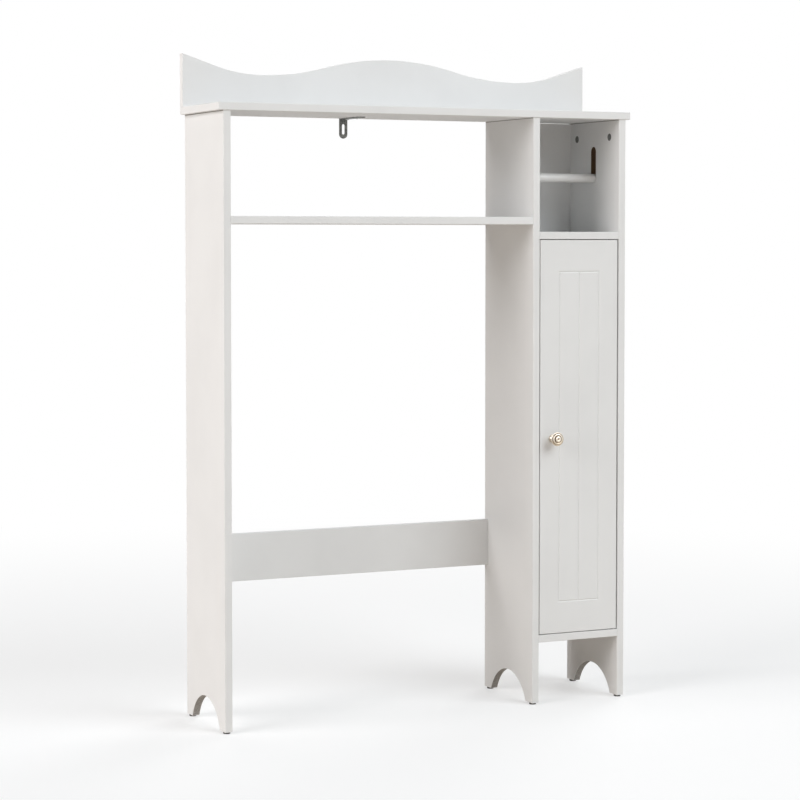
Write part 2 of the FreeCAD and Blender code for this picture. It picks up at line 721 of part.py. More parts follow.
join_top()
join_lying_boards()
join_rail()
join_splash()
for name, solids in copies.items():
    keep(name, group(name, solids))


# Feet

def feet():
    """An arch through each upright panel, and a glide with its nail under each foot."""
    disc = cylinder("glide_disc", "z", ORIGIN, "glide_radius", "glide_height")
    nail = cylinder("glide_nail", "z", ORIGIN, "glide_nail_radius", "glide_height + glide_nail_length")
    glide = fuse("glide", disc, nail)
    nail_hole = hole("glide_nail_cut", "glide_nail_radius", "glide_height + glide_nail_length")
    rows = {"front": f"({FRONT} + glide_inset)", "back": f"({BACK} - glide_inset)"}
    sides = {
        "left": ("left_side_panel", LEFT_FACE),
        "middle": ("middle_panel", BAY_RIGHT),
        "right": ("right_side_panel", COLUMN_RIGHT),
    }
    for side, (panel, face) in sides.items():
        arch_middle = (face, MIDDLE_DEPTH, "(arch_height - arch_radius)")
        cuts[panel].append(cylinder(f"{side}_arch", "x", arch_middle, "arch_radius", "board_thickness"))
        for row, depth in rows.items():
            place = (f"({face} + {HALF_BOARD})", depth, "0")
            node = f"{side}_{row}_glide"
            keep(node, group(node, [copy_of(node + "_copy", glide, place)]))
            cuts[panel].append(copy_of(node + "_nail_cut", nail_hole, place))


feet()


# Cupboard back, in grooves of the middle and right side panels

def cupboard_back():
    groove_low = "bottom_board_height"
    groove_y = f"({BACK_PANEL_FRONT} - slide_clearance)"
    groove_width = "(back_thickness + 2 * slide_clearance)"
    groove_length = f"(top_height - {groove_low})"
    left = box(
        "back_groove_left",
        (f"({COLUMN_LEFT} - back_groove_depth)", groove_y, groove_low),
        ("back_groove_depth", groove_width, groove_length),
    )
    right = box(
        "back_groove_right",
        (COLUMN_RIGHT, groove_y, groove_low),
        ("back_groove_depth", groove_width, groove_length),
    )
    cuts["middle_panel"].append(left)
    cuts["right_side_panel"].append(right)
    keep("cabinet_back_panel", box(
        "cabinet_back_panel",
        (f"({COLUMN_LEFT} - back_groove_depth + slide_clearance)", BACK_PANEL_FRONT, groove_low),
        (
            f"(column_width + 2 * back_groove_depth - 2 * slide_clearance)",
            "back_thickness",
            f"({groove_length} - back_top_gap)",
        ),
    ))


cupboard_back()


# Inner shelves on pins

def inner_shelves():
    front = f"({DOOR_INSIDE} + inner_shelf_setback)"
    depth = f"({BACK_PANEL_FRONT} - slide_clearance - {front})"
    pin_rows = (f"({front} + pin_inset)", f"({front} + {depth} - pin_inset)")
    stem = cylinder("pin_stem", "z", ("0", "0", "(-pin_reach)"), "pin_radius", "pin_reach + pin_depth")
    collar_end = ("0", "0", "(-pin_collar_width)")
    collar = cylinder("pin_collar", "z", collar_end, "pin_collar_radius", "pin_collar_width")
    flat = box(
        "pin_flat",
        ("(-pin_collar_radius)", "pin_radius", "(-pin_reach)"),
        ("(2 * pin_collar_radius)", "pin_collar_radius", "pin_reach"),
    )
    pin = cut("shelf_pin", fuse("shelf_pin_whole", stem, collar), [flat])
    pin_hole = hole("pin_cut", "pin_radius", "pin_depth")
    walls = (("middle_panel", COLUMN_LEFT, "-y", "-x"), ("right_side_panel", COLUMN_RIGHT, "+y", "+x"))
    pins = []
    for name, height in (("lower", "lower_shelf_height"), ("upper", "upper_shelf_height")):
        keep(f"{name}_inner_shelf", board(
            f"{name}_inner_shelf",
            (f"({COLUMN_LEFT} + inner_shelf_clearance)", front, height),
            (f"(column_width - 2 * inner_shelf_clearance)", depth, "board_thickness"),
            front_edges,
        ))
        for panel, face, mouth, into in walls:
            for row in pin_rows:
                level = f"({height} - pin_radius)"
                pins.append(copy_of(f"pin_{len(pins) + 1}", pin, (face, row, level), mouth, into))
                for step in (-1, 0, 1):
                    place = (face, row, f"({level} + {step} * pin_pitch)")
                    number = len(cuts[panel])
                    cuts[panel].append(copy_of(f"{panel}_pin_cut_{number}", pin_hole, place, mouth, into))
    keep("shelf_pins", group("shelf_pins", pins))


inner_shelves()


# Door: routed lines, pivots, knob and catch

def routed_lines():
    """A V-shaped line round the door and one down its middle. The line round the door is a tapered tray
    less a tapered island, and the two share one outline at the bottom of the groove."""
    half = "(groove_width / 2)"
    low_x, high_x = "groove_side_margin", f"({DOOR_WIDTH} - groove_side_margin)"
    low_z, high_z = "groove_end_margin", f"({DOOR_LENGTH} - groove_end_margin)"

    def tapered(name, sign):
        made = doc.addObject("Part::Wedge", name)
        bind(made, Ymin="0", Ymax="groove_depth")
        bind(made, Xmin=f"{low_x} - {sign} * {half}", Xmax=f"{high_x} + {sign} * {half}")
        bind(made, Zmin=f"{low_z} - {sign} * {half}", Zmax=f"{high_z} + {sign} * {half}")
        bind(made, X2min=low_x, X2max=high_x, Z2min=low_z, Z2max=high_z)
        return made

    ring = cut("routed_ring", tapered("routed_tray", "1"), [tapered("routed_island", "-1")])
    centre = doc.addObject("Part::Wedge", "routed_centre")
    middle = f"({DOOR_WIDTH} / 2)"
    bind(centre, Ymin="0", Ymax="groove_depth", Zmin=low_z, Zmax=high_z, Z2min=low_z, Z2max=high_z)
    bind(centre, Xmin=f"{middle} - {half}", Xmax=f"{middle} + {half}", X2min=middle, X2max=middle)
    return seat(fuse("routed_lines", ring, centre), (DOOR_LEFT, FRONT, DOOR_LOW))


def pivots():
    """Pins in the door's top and bottom edges, which turn in flanged bushes in the boards above and below."""
    flange = "(door_gap - seat_clearance)"
    bore = "(pivot_radius + running_clearance)"
    pin_length = "pivot_depth + door_gap + bush_depth - running_clearance"
    pin = cylinder("pivot_pin", "z", ("0", "0", "(-pivot_depth)"), "pivot_radius", pin_length)
    pin_hole = cylinder(
        "pivot_pin_cut",
        "z",
        ("0", "0", "(-pivot_depth - fit_clearance)"),
        "pivot_radius + fit_clearance",
        "pivot_depth + 2 * fit_clearance",
    )
    sleeve = cylinder("bush_sleeve", "z", ("0", "0", "door_gap"), "bush_radius", "bush_depth")
    collar = cylinder("bush_collar", "z", ("0", "0", "seat_clearance"), "bush_flange_radius", flange)
    hollow = cylinder("bush_hollow", "z", ORIGIN, bore, "door_gap + bush_depth")
    bush = cut("bush", fuse("bush_whole", sleeve, collar), [hollow])
    bush_hole = cylinder(
        "bush_cut", "z", ("0", "0", "door_gap"), "bush_radius + fit_clearance", "bush_depth + fit_clearance"
    )
    ends = (
        ("upper", DOOR_HIGH, "+z", "paper_cubby_floor"),
        ("lower", DOOR_LOW, "-z", "cabinet_bottom_board"),
    )
    for end, height, into, carrier in ends:
        place = (PIVOT_X, PIVOT_Y, height)
        for node, master in ((f"{end}_pivot_pin", pin), (f"{end}_pivot_bush", bush)):
            keep(node, group(node, [copy_of(node + "_copy", master, place, into=into)]))
        cuts["door_panel"].append(copy_of(f"{end}_pin_cut", pin_hole, place, into=into))
        cuts[carrier].append(copy_of(f"{end}_bush_cut", bush_hole, place, into=into))


def knob():
    """A turned knob with three rounded ridges and a dome, drawn along plus Z from the door's face."""
    head_low = "(knob_projection - knob_head_height)"
    first_ridge = "(knob_projection - knob_dome_radius / 2 - 2 * knob_ridge_radius)"
    rim = "(knob_radius - knob_ridge_radius)"
    swell_end = ("0", "0", "knob_base_height")
    flare_end = ("0", "0", f"({head_low} - knob_neck_radius)")
    base = cylinder("knob_base", "z", ORIGIN, "knob_base_radius", "knob_base_height")
    swell = cone("knob_swell", swell_end, "knob_swell_radius", "knob_neck_radius", "knob_base_height")
    neck = cylinder("knob_neck", "z", ORIGIN, "knob_neck_radius", head_low)
    flare = cone("knob_flare", flare_end, "knob_neck_radius", "knob_flare_radius", "knob_neck_radius")
    disc_height = f"({first_ridge} + knob_ridge_radius - {head_low})"
    disc = cylinder("knob_disc", "z", ("0", "0", head_low), rim, disc_height)
    ridges = []
    for number in range(3):
        ring = doc.addObject("Part::Torus", f"knob_ridge_{number + 1}")
        bind(ring, Radius1=f"{rim} - {number} * knob_ridge_pitch", Radius2="knob_ridge_radius")
        bind(ring, z=f"{first_ridge} + {number} * knob_ridge_step")
        ridges.append(ring)
    dome = doc.addObject("Part::Sphere", "knob_dome")
    bind(dome, Radius="knob_dome_radius", z="(knob_projection - knob_dome_radius)")
    bore = hole("knob_bore", "knob_screw_radius", "knob_screw_grip")
    whole = fuse("knob_whole", base, swell, neck, flare, disc, dome, *ridges)
    keep("door_knob", seat(cut("door_knob", whole, [bore]), (KNOB_X, FRONT, KNOB_Z), into="-y"))

    grip = "(door_thickness + knob_screw_grip)"
    head = ("knob_screw_head_radius", "knob_screw_head_height")
    place = (KNOB_X, DOOR_INSIDE, KNOB_Z)
    screw = round_head_screw("knob_screw", *head, "knob_screw_radius", grip)
    keep("knob_screw", seat(screw, place, into="-y"))
    cuts["door_panel"].append(seat(hole("knob_screw_cut", "knob_screw_radius", grip), place, into="-y"))


def catch():
    """A magnet in a housing under the cubby floor, and the steel plate that it holds on the door."""
    low = f"({CUBBY_LEVEL} - catch_height)"
    ear_level = f"({CUBBY_LEVEL} - catch_ear_height)"
    left = f"({CATCH_MIDDLE} - catch_length / 2)"
    magnet_low = f"({DOOR_HIGH} - strike_edge_gap - strike_height / 2 - magnet_height / 2)"
    magnet_left = f"({CATCH_MIDDLE} - magnet_length / 2)"
    block = box(
        "catch_block",
        (f"({left} + catch_ear_length)", CATCH_FRONT, low),
        ("(catch_length - 2 * catch_ear_length)", "catch_depth", "catch_height"),
    )
    ears = box(
        "catch_ears",
        (left, CATCH_FRONT, ear_level),
        ("catch_length", "catch_depth", "catch_ear_height"),
    )
    pocket = box(
        "catch_pocket",
        (f"({magnet_left} - slide_clearance)", CATCH_FRONT, f"({magnet_low} - slide_clearance)"),
        (
            "(magnet_length + 2 * slide_clearance)",
            "(magnet_depth - magnet_reach + slide_clearance)",
            "(magnet_height + 2 * slide_clearance)",
        ),
    )
    keep("catch_magnet", box(
        "catch_magnet",
        (magnet_left, f"({CATCH_FRONT} - magnet_reach)", magnet_low),
        ("magnet_length", "magnet_depth", "magnet_height"),
    ))
    length = "(small_screw_length + catch_ear_height)"
    apart = "(catch_length - catch_ear_length) / 2"
    screw = round_head_screw("catch_screw", *SMALL_SCREW, length)
    opening = hole("catch_screw_cut", "small_screw_radius", length)
    screws, holes = [], []
    for number, sign in enumerate("-+", start=1):
        x = f"({CATCH_MIDDLE} {sign} {apart})"
        place = (x, f"({CATCH_FRONT} + catch_depth / 2)", ear_level)
        screws.append(copy_of(f"catch_screw_{number}", screw, place))
        holes.append(copy_of(f"catch_screw_cut_{number}", opening, place))
    cuts["paper_cubby_floor"] += holes
    keep("catch_housing", cut("catch_housing", fuse("catch_whole", block, ears), [pocket, *holes]))
    keep("catch_screws", group("catch_screws", screws))


def strike():
    left = f"({CATCH_MIDDLE} - strike_length / 2)"
    low = f"({DOOR_HIGH} - strike_edge_gap - strike_height)"
    size = ("strike_length", "strike_thickness", "strike_height")
    plate = box("strike_blank", (left, DOOR_INSIDE, low), size)
    sizes = ("strike_head_radius", "strike_thickness", "strike_screw_radius", "strike_screw_length")
    apart = "(strike_length / 2 - strike_screw_inset)"
    screw = countersunk_screw("strike_screw", *sizes)
    opening = countersunk_hole("strike_screw_cut", *sizes)
    screws, holes = [], []
    for number, sign in enumerate("-+", start=1):
        x = f"({CATCH_MIDDLE} {sign} {apart})"
        place = (x, f"({DOOR_INSIDE} + strike_thickness)", f"({low} + strike_height / 2)")
        screws.append(copy_of(f"strike_screw_{number}", screw, place, into="-y"))
        holes.append(copy_of(f"strike_screw_cut_{number}", opening, place, into="-y"))
    cuts["door_panel"] += holes
    keep("strike_plate", cut("strike_plate", plate, holes))
    keep("strike_screws", group("strike_screws", screws))


cuts["door_panel"].append(routed_lines())
pivots()
knob()
catch()
strike()


# Paper rod, lifted out of two upright slots

def paper_rod():
    slot_low = "(top_height - slot_drop - slot_length)"
    low_centre = f"({slot_low} + slot_radius)"
    high_centre = "(top_height - slot_drop - slot_radius)"
    rod_level = f"({slot_low} + seat_clearance + rod_radius)"
    rod_end = (f"({COLUMN_LEFT} - rod_engagement)", MIDDLE_DEPTH, rod_level)
    rod_length = f"(column_width + 2 * rod_engagement)"
    starts = {"middle_panel": f"({COLUMN_LEFT} - slot_depth)", "right_side_panel": COLUMN_RIGHT}
    for panel, start in starts.items():
        low_end = (start, MIDDLE_DEPTH, low_centre)
        high_end = (start, MIDDLE_DEPTH, high_centre)
        low = cylinder(f"{panel}_slot_low", "x", low_end, "slot_radius", "slot_depth")
        high = cylinder(f"{panel}_slot_high", "x", high_end, "slot_radius", "slot_depth")
        run = box(
            f"{panel}_slot_run",
            (start, f"({MIDDLE_DEPTH} - slot_radius)", low_centre),
            ("slot_depth", "(2 * slot_radius)", f"({high_centre} - {low_centre})"),
        )
        cuts[panel].append(fuse(f"{panel}_slot", run, low, high))
    keep("paper_rod", cylinder("paper_rod", "x", rod_end, "rod_radius", rod_length))


paper_rod()


# Wall bracket

def wall_bracket():
    left = f"({BAY_MIDDLE} - bracket_width / 2)"
    drop_low = "(top_height - bracket_drop + bracket_width / 2)"
    wall_front = f"({BACK} - bracket_thickness)"
    leg = box(
        "bracket_leg",
        (left, f"({BACK} - bracket_leg)", "(top_height - bracket_thickness)"),
        ("bracket_width", "bracket_leg", "bracket_thickness"),
    )
    drop = box(
        "bracket_drop",
        (left, wall_front, drop_low),
        ("bracket_width", "bracket_thickness", f"(top_height - {drop_low})"),
    )

    def through_plate(name, height, radius):
        """A round bar through the leg against the wall."""
        return cylinder(name, "y", (BAY_MIDDLE, wall_front, height), radius, "bracket_thickness")

    end = through_plate("bracket_end", drop_low, "bracket_width / 2")
    slot_low = "(top_height - bracket_drop + bracket_slot_low + bracket_slot_radius)"
    slot_run = "(bracket_slot_length - 2 * bracket_slot_radius)"
    low = through_plate("bracket_slot_low", slot_low, "bracket_slot_radius")
    high = through_plate("bracket_slot_high", f"({slot_low} + {slot_run})", "bracket_slot_radius")
    run = box(
        "bracket_slot_run",
        (f"({BAY_MIDDLE} - bracket_slot_radius)", wall_front, slot_low),
        ("(2 * bracket_slot_radius)", "bracket_thickness", slot_run),
    )
    slot = fuse("bracket_slot", low, high, run)
    length = "(small_screw_length + bracket_thickness)"
    screw = round_head_screw("bracket_screw", *SMALL_SCREW, length)
    opening = hole("bracket_screw_cut", "small_screw_radius", length)
    screws, holes = [], []
    for number in range(2):
        depth = f"({BACK} - bracket_screw_inset - {number} * bracket_screw_spacing)"
        place = (BAY_MIDDLE, depth, "(top_height - bracket_thickness)")
        screws.append(copy_of(f"bracket_screw_{number + 1}", screw, place))
        holes.append(copy_of(f"bracket_screw_cut_{number + 1}", opening, place))
    cuts["top_board"] += holes
    keep("wall_bracket", cut("wall_bracket", fuse("bracket_whole", leg, drop, end), [slot, *holes]))
    keep("wall_bracket_screws", group("wall_bracket_screws", screws))


wall_bracket()


# Boards with all their holes, grooves and slots

for name, blank in blanks.items():
    keep(name, cut(name, blank, cuts[name]))
doc.recompute()

for thing in doc.Objects:
    if "Invalid" in thing.State or "Error" in thing.State:
        raise RuntimeError(f"{thing.Name} failed: {thing.State}")
for node, piece in pieces.items():
    if piece.Shape.isNull() or not piece.Shape.isValid() or not piece.Shape.Solids:
        raise RuntimeError(f"{node} has no valid solid")

os.makedirs("parts", exist_ok=True)
for node, piece in pieces.items():
    piece.Shape.exportStep(f"parts/{node}.step")
print(len(pieces), "pieces,", sum(len(piece.Shape.Solids) for piece in pieces.values()), "solids")
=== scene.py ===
"""Looks of a tall white cabinet: painted boards, turned fittings, a ringed knob and a plain bright room.

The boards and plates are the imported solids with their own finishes. The round fittings are worked out
again here, row by row. Profiles are in millimetres, and Blender's own lengths are metres.
"""
from math import cos, pi, radians, tan

import bmesh
import bpy
import numpy as np
from mathutils import Euler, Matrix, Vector


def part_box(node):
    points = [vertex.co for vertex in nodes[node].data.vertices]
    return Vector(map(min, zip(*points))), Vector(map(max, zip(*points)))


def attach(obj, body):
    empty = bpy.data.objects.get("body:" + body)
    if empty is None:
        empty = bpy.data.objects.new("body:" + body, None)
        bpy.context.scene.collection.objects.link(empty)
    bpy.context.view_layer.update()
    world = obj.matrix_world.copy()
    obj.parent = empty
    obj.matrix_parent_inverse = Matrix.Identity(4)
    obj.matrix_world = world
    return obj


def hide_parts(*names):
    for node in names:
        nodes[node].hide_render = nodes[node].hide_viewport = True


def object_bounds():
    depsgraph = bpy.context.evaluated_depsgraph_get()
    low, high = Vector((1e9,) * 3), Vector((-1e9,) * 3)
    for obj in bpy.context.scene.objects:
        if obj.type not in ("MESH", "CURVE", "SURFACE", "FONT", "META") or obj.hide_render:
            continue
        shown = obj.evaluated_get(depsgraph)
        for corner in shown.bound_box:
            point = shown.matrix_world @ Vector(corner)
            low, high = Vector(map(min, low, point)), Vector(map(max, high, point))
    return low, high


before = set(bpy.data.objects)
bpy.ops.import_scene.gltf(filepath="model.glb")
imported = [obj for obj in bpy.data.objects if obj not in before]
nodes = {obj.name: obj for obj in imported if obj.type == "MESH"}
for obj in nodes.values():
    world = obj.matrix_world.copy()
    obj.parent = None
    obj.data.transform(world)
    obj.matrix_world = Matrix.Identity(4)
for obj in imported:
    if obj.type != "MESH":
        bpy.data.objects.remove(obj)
cad_low, cad_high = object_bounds()

MM = 0.001

# Camera, as fitted to the picture's corners
CAMERA_PLACE = (-2.04498, -4.26159, 0.95023)
CAMERA_YAW = 0.44213
CAMERA_PITCH = 0.04588
CAMERA_SENSOR = 36
CAMERA_LENS = 105.90
CAMERA_SHIFT = -0.06875

# Lights: bearing from the front round to the left, height above the floor, strength, spread and colour.
# Angles are in degrees, and distances in metres.
LAMPS = {
    "side_light": (82, 25, 2.44, 46, (1, 0.982, 0.976)),
    "front_light": (-30, 36, 2.02, 50, (0.925, 0.972, 1)),
    "back_light": (-130, 35, 0.92, 30, (1, 1, 1)),
}
LAMP_DISTANCE = 13
WHITE = (1, 1, 1, 1)
ROOM_LIGHT = 0.06
FLOOR_HALF = 40
FLOOR_SEEN = (0.96, 0.96, 0.96, 1)
FLOOR_GLOW = (0.48, 1.0)
FLOOR_GLOW_REACH = (0.9, 3.2)
FLOOR_BOUNCE = (0.67, 0.60, 0.53, 1)

DIRECTIONS = {
    "+x": np.array([1.0, 0.0, 0.0]),
    "-x": np.array([-1.0, 0.0, 0.0]),
    "+y": np.array([0.0, 1.0, 0.0]),
    "-y": np.array([0.0, -1.0, 0.0]),
    "+z": np.array([0.0, 0.0, 1.0]),
    "-z": np.array([0.0, 0.0, -1.0]),
}


# Profiles and grids

# Points round each kind of turned piece
AROUND = {
    "knob": 112,
    "glide": 56,
    "rod": 80,
    "screw": 72,
    "pin": 56,
    "bush": 64,
    "dowel": 108,
    "bolt": 48,
}
# Angles from which an edge stays sharp, in degrees: plain pieces, threads and flutes, and the knob
CREASE = 38
FINE_CREASE = 50
KNOB_CREASE = 60
THREAD_DEPTH = 0.22


def eased(corners, cuts, steps=6):
    """A broken line with softened corners. Each inner corner gives way to a parabola that leaves the
    line one cut before the corner and joins it one cut after."""
    corners = np.asarray(corners, float)
    inner = corners[1:-1]
    before = corners[:-2] - inner
    after = corners[2:] - inner
    cut = np.broadcast_to(np.asarray(cuts, float), len(inner))[:, None]
    start = inner + cut * before / np.linalg.norm(before, axis=1, keepdims=True)
    end = inner + cut * after / np.linalg.norm(after, axis=1, keepdims=True)
    t = np.linspace(0, 1, steps)[None, :, None]
    curve = (1 - t) ** 2 * start[:, None] + 2 * t * (1 - t) * inner[:, None] + t ** 2 * end[:, None]
    return np.vstack([corners[:1], curve.reshape(-1, 2), corners[-1:]])


def even(line, step):
    """The same line with its points one step apart, measured along it."""
    along = np.concatenate([[0], np.cumsum(np.linalg.norm(np.diff(line, axis=0), axis=1))])
    count = int(np.ceil(along[-1] / step)) + 1
    places = np.linspace(0, along[-1], count)
    return np.stack([np.interp(places, along, line[:, 0]), np.interp(places, along, line[:, 1])], 1)


def softened(line, reach):
    """Each point moves to the mean of its neighbours within reach, so sharp valleys become round."""
    window = np.hanning(2 * reach + 3)[1:-1]
    window /= window.sum()
    padded = np.pad(line, ((reach, reach), (0, 0)), mode="edge")
    smooth = np.stack([np.convolve(padded[:, axis], window, "valid") for axis in (0, 1)], 1)
    smooth[0], smooth[-1] = line[0], line[-1]
    return smooth


def arc(middle, radius, first, last, steps=24):
    """Points of a circle from the first angle to the last, in degrees."""
    angle = np.radians(np.linspace(first, last, steps))
    return np.stack([middle[0] + radius * np.cos(angle), middle[1] + radius * np.sin(angle)], 1)


def turned(profile, around):
    """Circles about the Z axis: a row of radius r and height z at angle a is (r cos a, r sin a, z)."""
    radius, height = np.asarray(profile, float).T
    angle = 2 * pi * np.arange(around) / around
    x = radius[:, None] * np.cos(angle)
    y = radius[:, None] * np.sin(angle)
    z = np.repeat(height[:, None], around, 1)
    return np.stack([x, y, z], -1)


def threaded(grid, first, count, pitch):
    """How far a thread narrows each point of a turned grid, as a share of its radius: a triangle wave of
    the angle less the height in the given rows, so that it winds."""
    around = grid.shape[1]
    turn = np.arange(around)[None, :] / around - grid[..., 2] / pitch
    wave = np.abs(2 * (turn - np.floor(turn)) - 1)
    rows = slice(first, first + count)
    cut = np.zeros_like(wave)
    cut[rows] = THREAD_DEPTH * (1 - wave[rows])
    return cut


def placed(grid, places):
    """Copies of a grid, one for each (place, mouth, into): X turns to the mouth and Z to the into."""
    mouths = np.array([DIRECTIONS[mouth] for place, mouth, into in places])
    intos = np.array([DIRECTIONS[into] for place, mouth, into in places])
    turns = np.stack([mouths, np.cross(intos, mouths), intos], -1)
    spots = np.array([place for place, mouth, into in places], float)
    return np.einsum("kij,rcj->krci", turns, grid) + spots[:, None, None, :]


def piece(name, grids, body, replaced, finish, crease=CREASE):
    """Closed grids as one mesh. Quads join neighbouring rows, and the last column meets the first. Rows
    that shrink to a point become one, and so do a first and last row that lie on each other."""
    count, rows, around = grids.shape[:3]
    i = np.arange(rows - 1)[:, None]
    j = np.arange(around)[None, :]
    k = (j + 1) % around
    quads = np.stack([i * around + j, i * around + k, (i + 1) * around + k, (i + 1) * around + j], -1)
    quads = quads.reshape(1, -1, 4) + (np.arange(count) * rows * around)[:, None, None]
    mesh = bpy.data.meshes.new(name)
    mesh.from_pydata((grids.reshape(-1, 3) * MM).tolist(), [], quads.reshape(-1, 4).tolist())
    shell = bmesh.new()
    shell.from_mesh(mesh)
    bmesh.ops.remove_doubles(shell, verts=shell.verts, dist=1e-6)
    bmesh.ops.dissolve_degenerate(shell, edges=shell.edges, dist=1e-7)
    bmesh.ops.recalc_face_normals(shell, faces=shell.faces)
    shell.to_mesh(mesh)
    shell.free()
    mesh.shade_smooth()
    mesh.set_sharp_from_angle(angle=radians(crease))
    mesh.materials.append(finish)
    made = bpy.data.objects.new(name, mesh)
    bpy.context.scene.collection.objects.link(made)
    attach(made, body)
    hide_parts(*replaced)


# Finishes

class Finish:
    """A material, with short words for its nodes."""

    def __init__(self, name, **sockets):
        self.material = bpy.data.materials.new(name)
        self.material.use_nodes = True
        self.tree = self.material.node_tree
        self.shader = self.tree.nodes["Principled BSDF"]
        self.place = self.add("ShaderNodeTexCoord").outputs["Object"]
        for socket, value in sockets.items():
            self.feed(self.shader.inputs[socket], value)

    def add(self, kind, inputs=(), **settings):
        made = self.tree.nodes.new(kind)
        for name, value in settings.items():
            setattr(made, name, value)
        for name, value in dict(inputs).items():
            self.feed(made.inputs[name], value)
        return made

    def feed(self, socket, value):
        if isinstance(value, bpy.types.NodeSocket):
            self.tree.links.new(value, socket)
        else:
            socket.default_value = value

    def operate(self, kind, operation, values):
        made = self.add(kind, operation=operation)
        for socket, value in zip(made.inputs, values):
            self.feed(socket, value)
        return made.outputs

    def math(self, operation, *values):
        return self.operate("ShaderNodeMath", operation, values)[0]

    def vector(self, operation, *values):
        return self.operate("ShaderNodeVectorMath", operation, values)[0]

    def length(self, vector):
        return self.operate("ShaderNodeVectorMath", "LENGTH", [vector])["Value"]

    def parts(self, vector):
        """The X, Y and Z of a vector."""
        return self.add("ShaderNodeSeparateXYZ", {"Vector": vector}).outputs

    def stretched(self, scale):
        """Object coordinates, scaled along the axes."""
        return self.add("ShaderNodeMapping", {"Vector": self.place, "Scale": scale}).outputs[0]

    def noise(self, scale, detail=2.0, roughness=0.5, place=None):
        place = place or self.place
        inputs = {"Vector": place, "Scale": scale, "Detail": detail, "Roughness": roughness}
        return self.add("ShaderNodeTexNoise", inputs).outputs["Fac"]

    def between(self, value, low, high, first=0.0, last=1.0):
        """Takes low..high to first..last, smoothly and held at the ends."""
        inputs = {"Value": value, "From Min": low, "From Max": high, "To Min": first, "To Max": last}
        return self.add("ShaderNodeMapRange", inputs, interpolation_type="SMOOTHSTEP").outputs["Result"]

    def mix(self, share, first, last):
        """A share of the way from the first colour to the last. The node has sockets for each type."""
        made = self.add("ShaderNodeMix", {0: share, 6: first, 7: last}, data_type="RGBA")
        return made.outputs[2]

    def ramp(self, share, *stops):
        made = self.add("ShaderNodeValToRGB", {"Fac": share})
        marks = made.color_ramp.elements
        for number, (position, colour) in enumerate(stops):
            mark = marks[number] if number < len(marks) else marks.new(position)
            mark.position = position
            mark.color = colour
        return made.outputs["Color"]

    def bump(self, height, depth, strength=1.0, under=None):
        inputs = {"Height": height, "Distance": depth, "Strength": strength}
        if under:
            inputs["Normal"] = under
        return self.add("ShaderNodeBump", inputs).outputs["Normal"]

    def wear(self, colour, roughness, normal):
        """What the shader shows at last."""
        for socket, value in (("Base Color", colour), ("Roughness", roughness), ("Normal", normal)):
            self.feed(self.shader.inputs[socket], value)
        return self.material


PAINT = (0.785, 0.785, 0.782, 1)
PAINT_CLOUD = (0.760, 0.760, 0.757, 1)
PAINT_EDGE = (0.700, 0.696, 0.688, 1)
# Thin paint in the arches, darkened as painted shade
PAINT_THIN_SHADED = (0.290, 0.275, 0.260, 1)
# Dark line below the panels' upper ends: a joint line that also paints the shadow under the top's
# overhang
PAINT_SEAM_SHADOW = (0.260, 0.245, 0.230, 1)
CORE_LIGHT = (0.200, 0.128, 0.078, 1)
CORE_DARK = (0.105, 0.064, 0.038, 1)
BACK_LIGHT_TONE = (0.72, 0.705, 0.68, 1)
BACK_DARK_TONE = (0.60, 0.585, 0.555, 1)
METAL_POLISHED = (0.76, 0.68, 0.58, 1)
# Dark valley colour of the knob: antique toning, and painted shade in the grooves
METAL_TONED_AND_SHADED = (0.17, 0.13, 0.098, 1)

# Where a finish changes, in metres
WORN_EDGE = (0.0002, 0.0012)
BARE_FIBRE = (0.0006, 0.0010)
SEAM_SHADOW_DROP = (0.0017, 0.0012)
SEAM_SHADOW_INSET = (0.001, 0.004)
ARCH_TOP = 0.060
SCREEN_PITCH = 0.0016
KNOB_RADIUS = 0.014
KNOB_HEAD = (-0.0205, -0.0190)
MAGNET_HALF = (0.0021, 0.0023)


def depth_in_box(finish, node):
    """Distances of a point to the nearest and to the next nearest faces of the node's own box, in
    metres. The first is the least of the three axes' distances, and the second is their middle one."""
    low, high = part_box(node)
    from_low = finish.vector("SUBTRACT", finish.place, tuple(low))
    from_high = finish.vector("SUBTRACT", tuple(high), finish.place)
    parts = finish.parts(finish.vector("MINIMUM", from_low, from_high))
    less = finish.math("MINIMUM", parts["X"], parts["Y"])
    more = finish.math("MAXIMUM", parts["X"], parts["Y"])
    first = finish.math("MINIMUM", less, parts["Z"])
    second = finish.math("MAXIMUM", less, finish.math("MINIMUM", more, parts["Z"]))
    return first, second


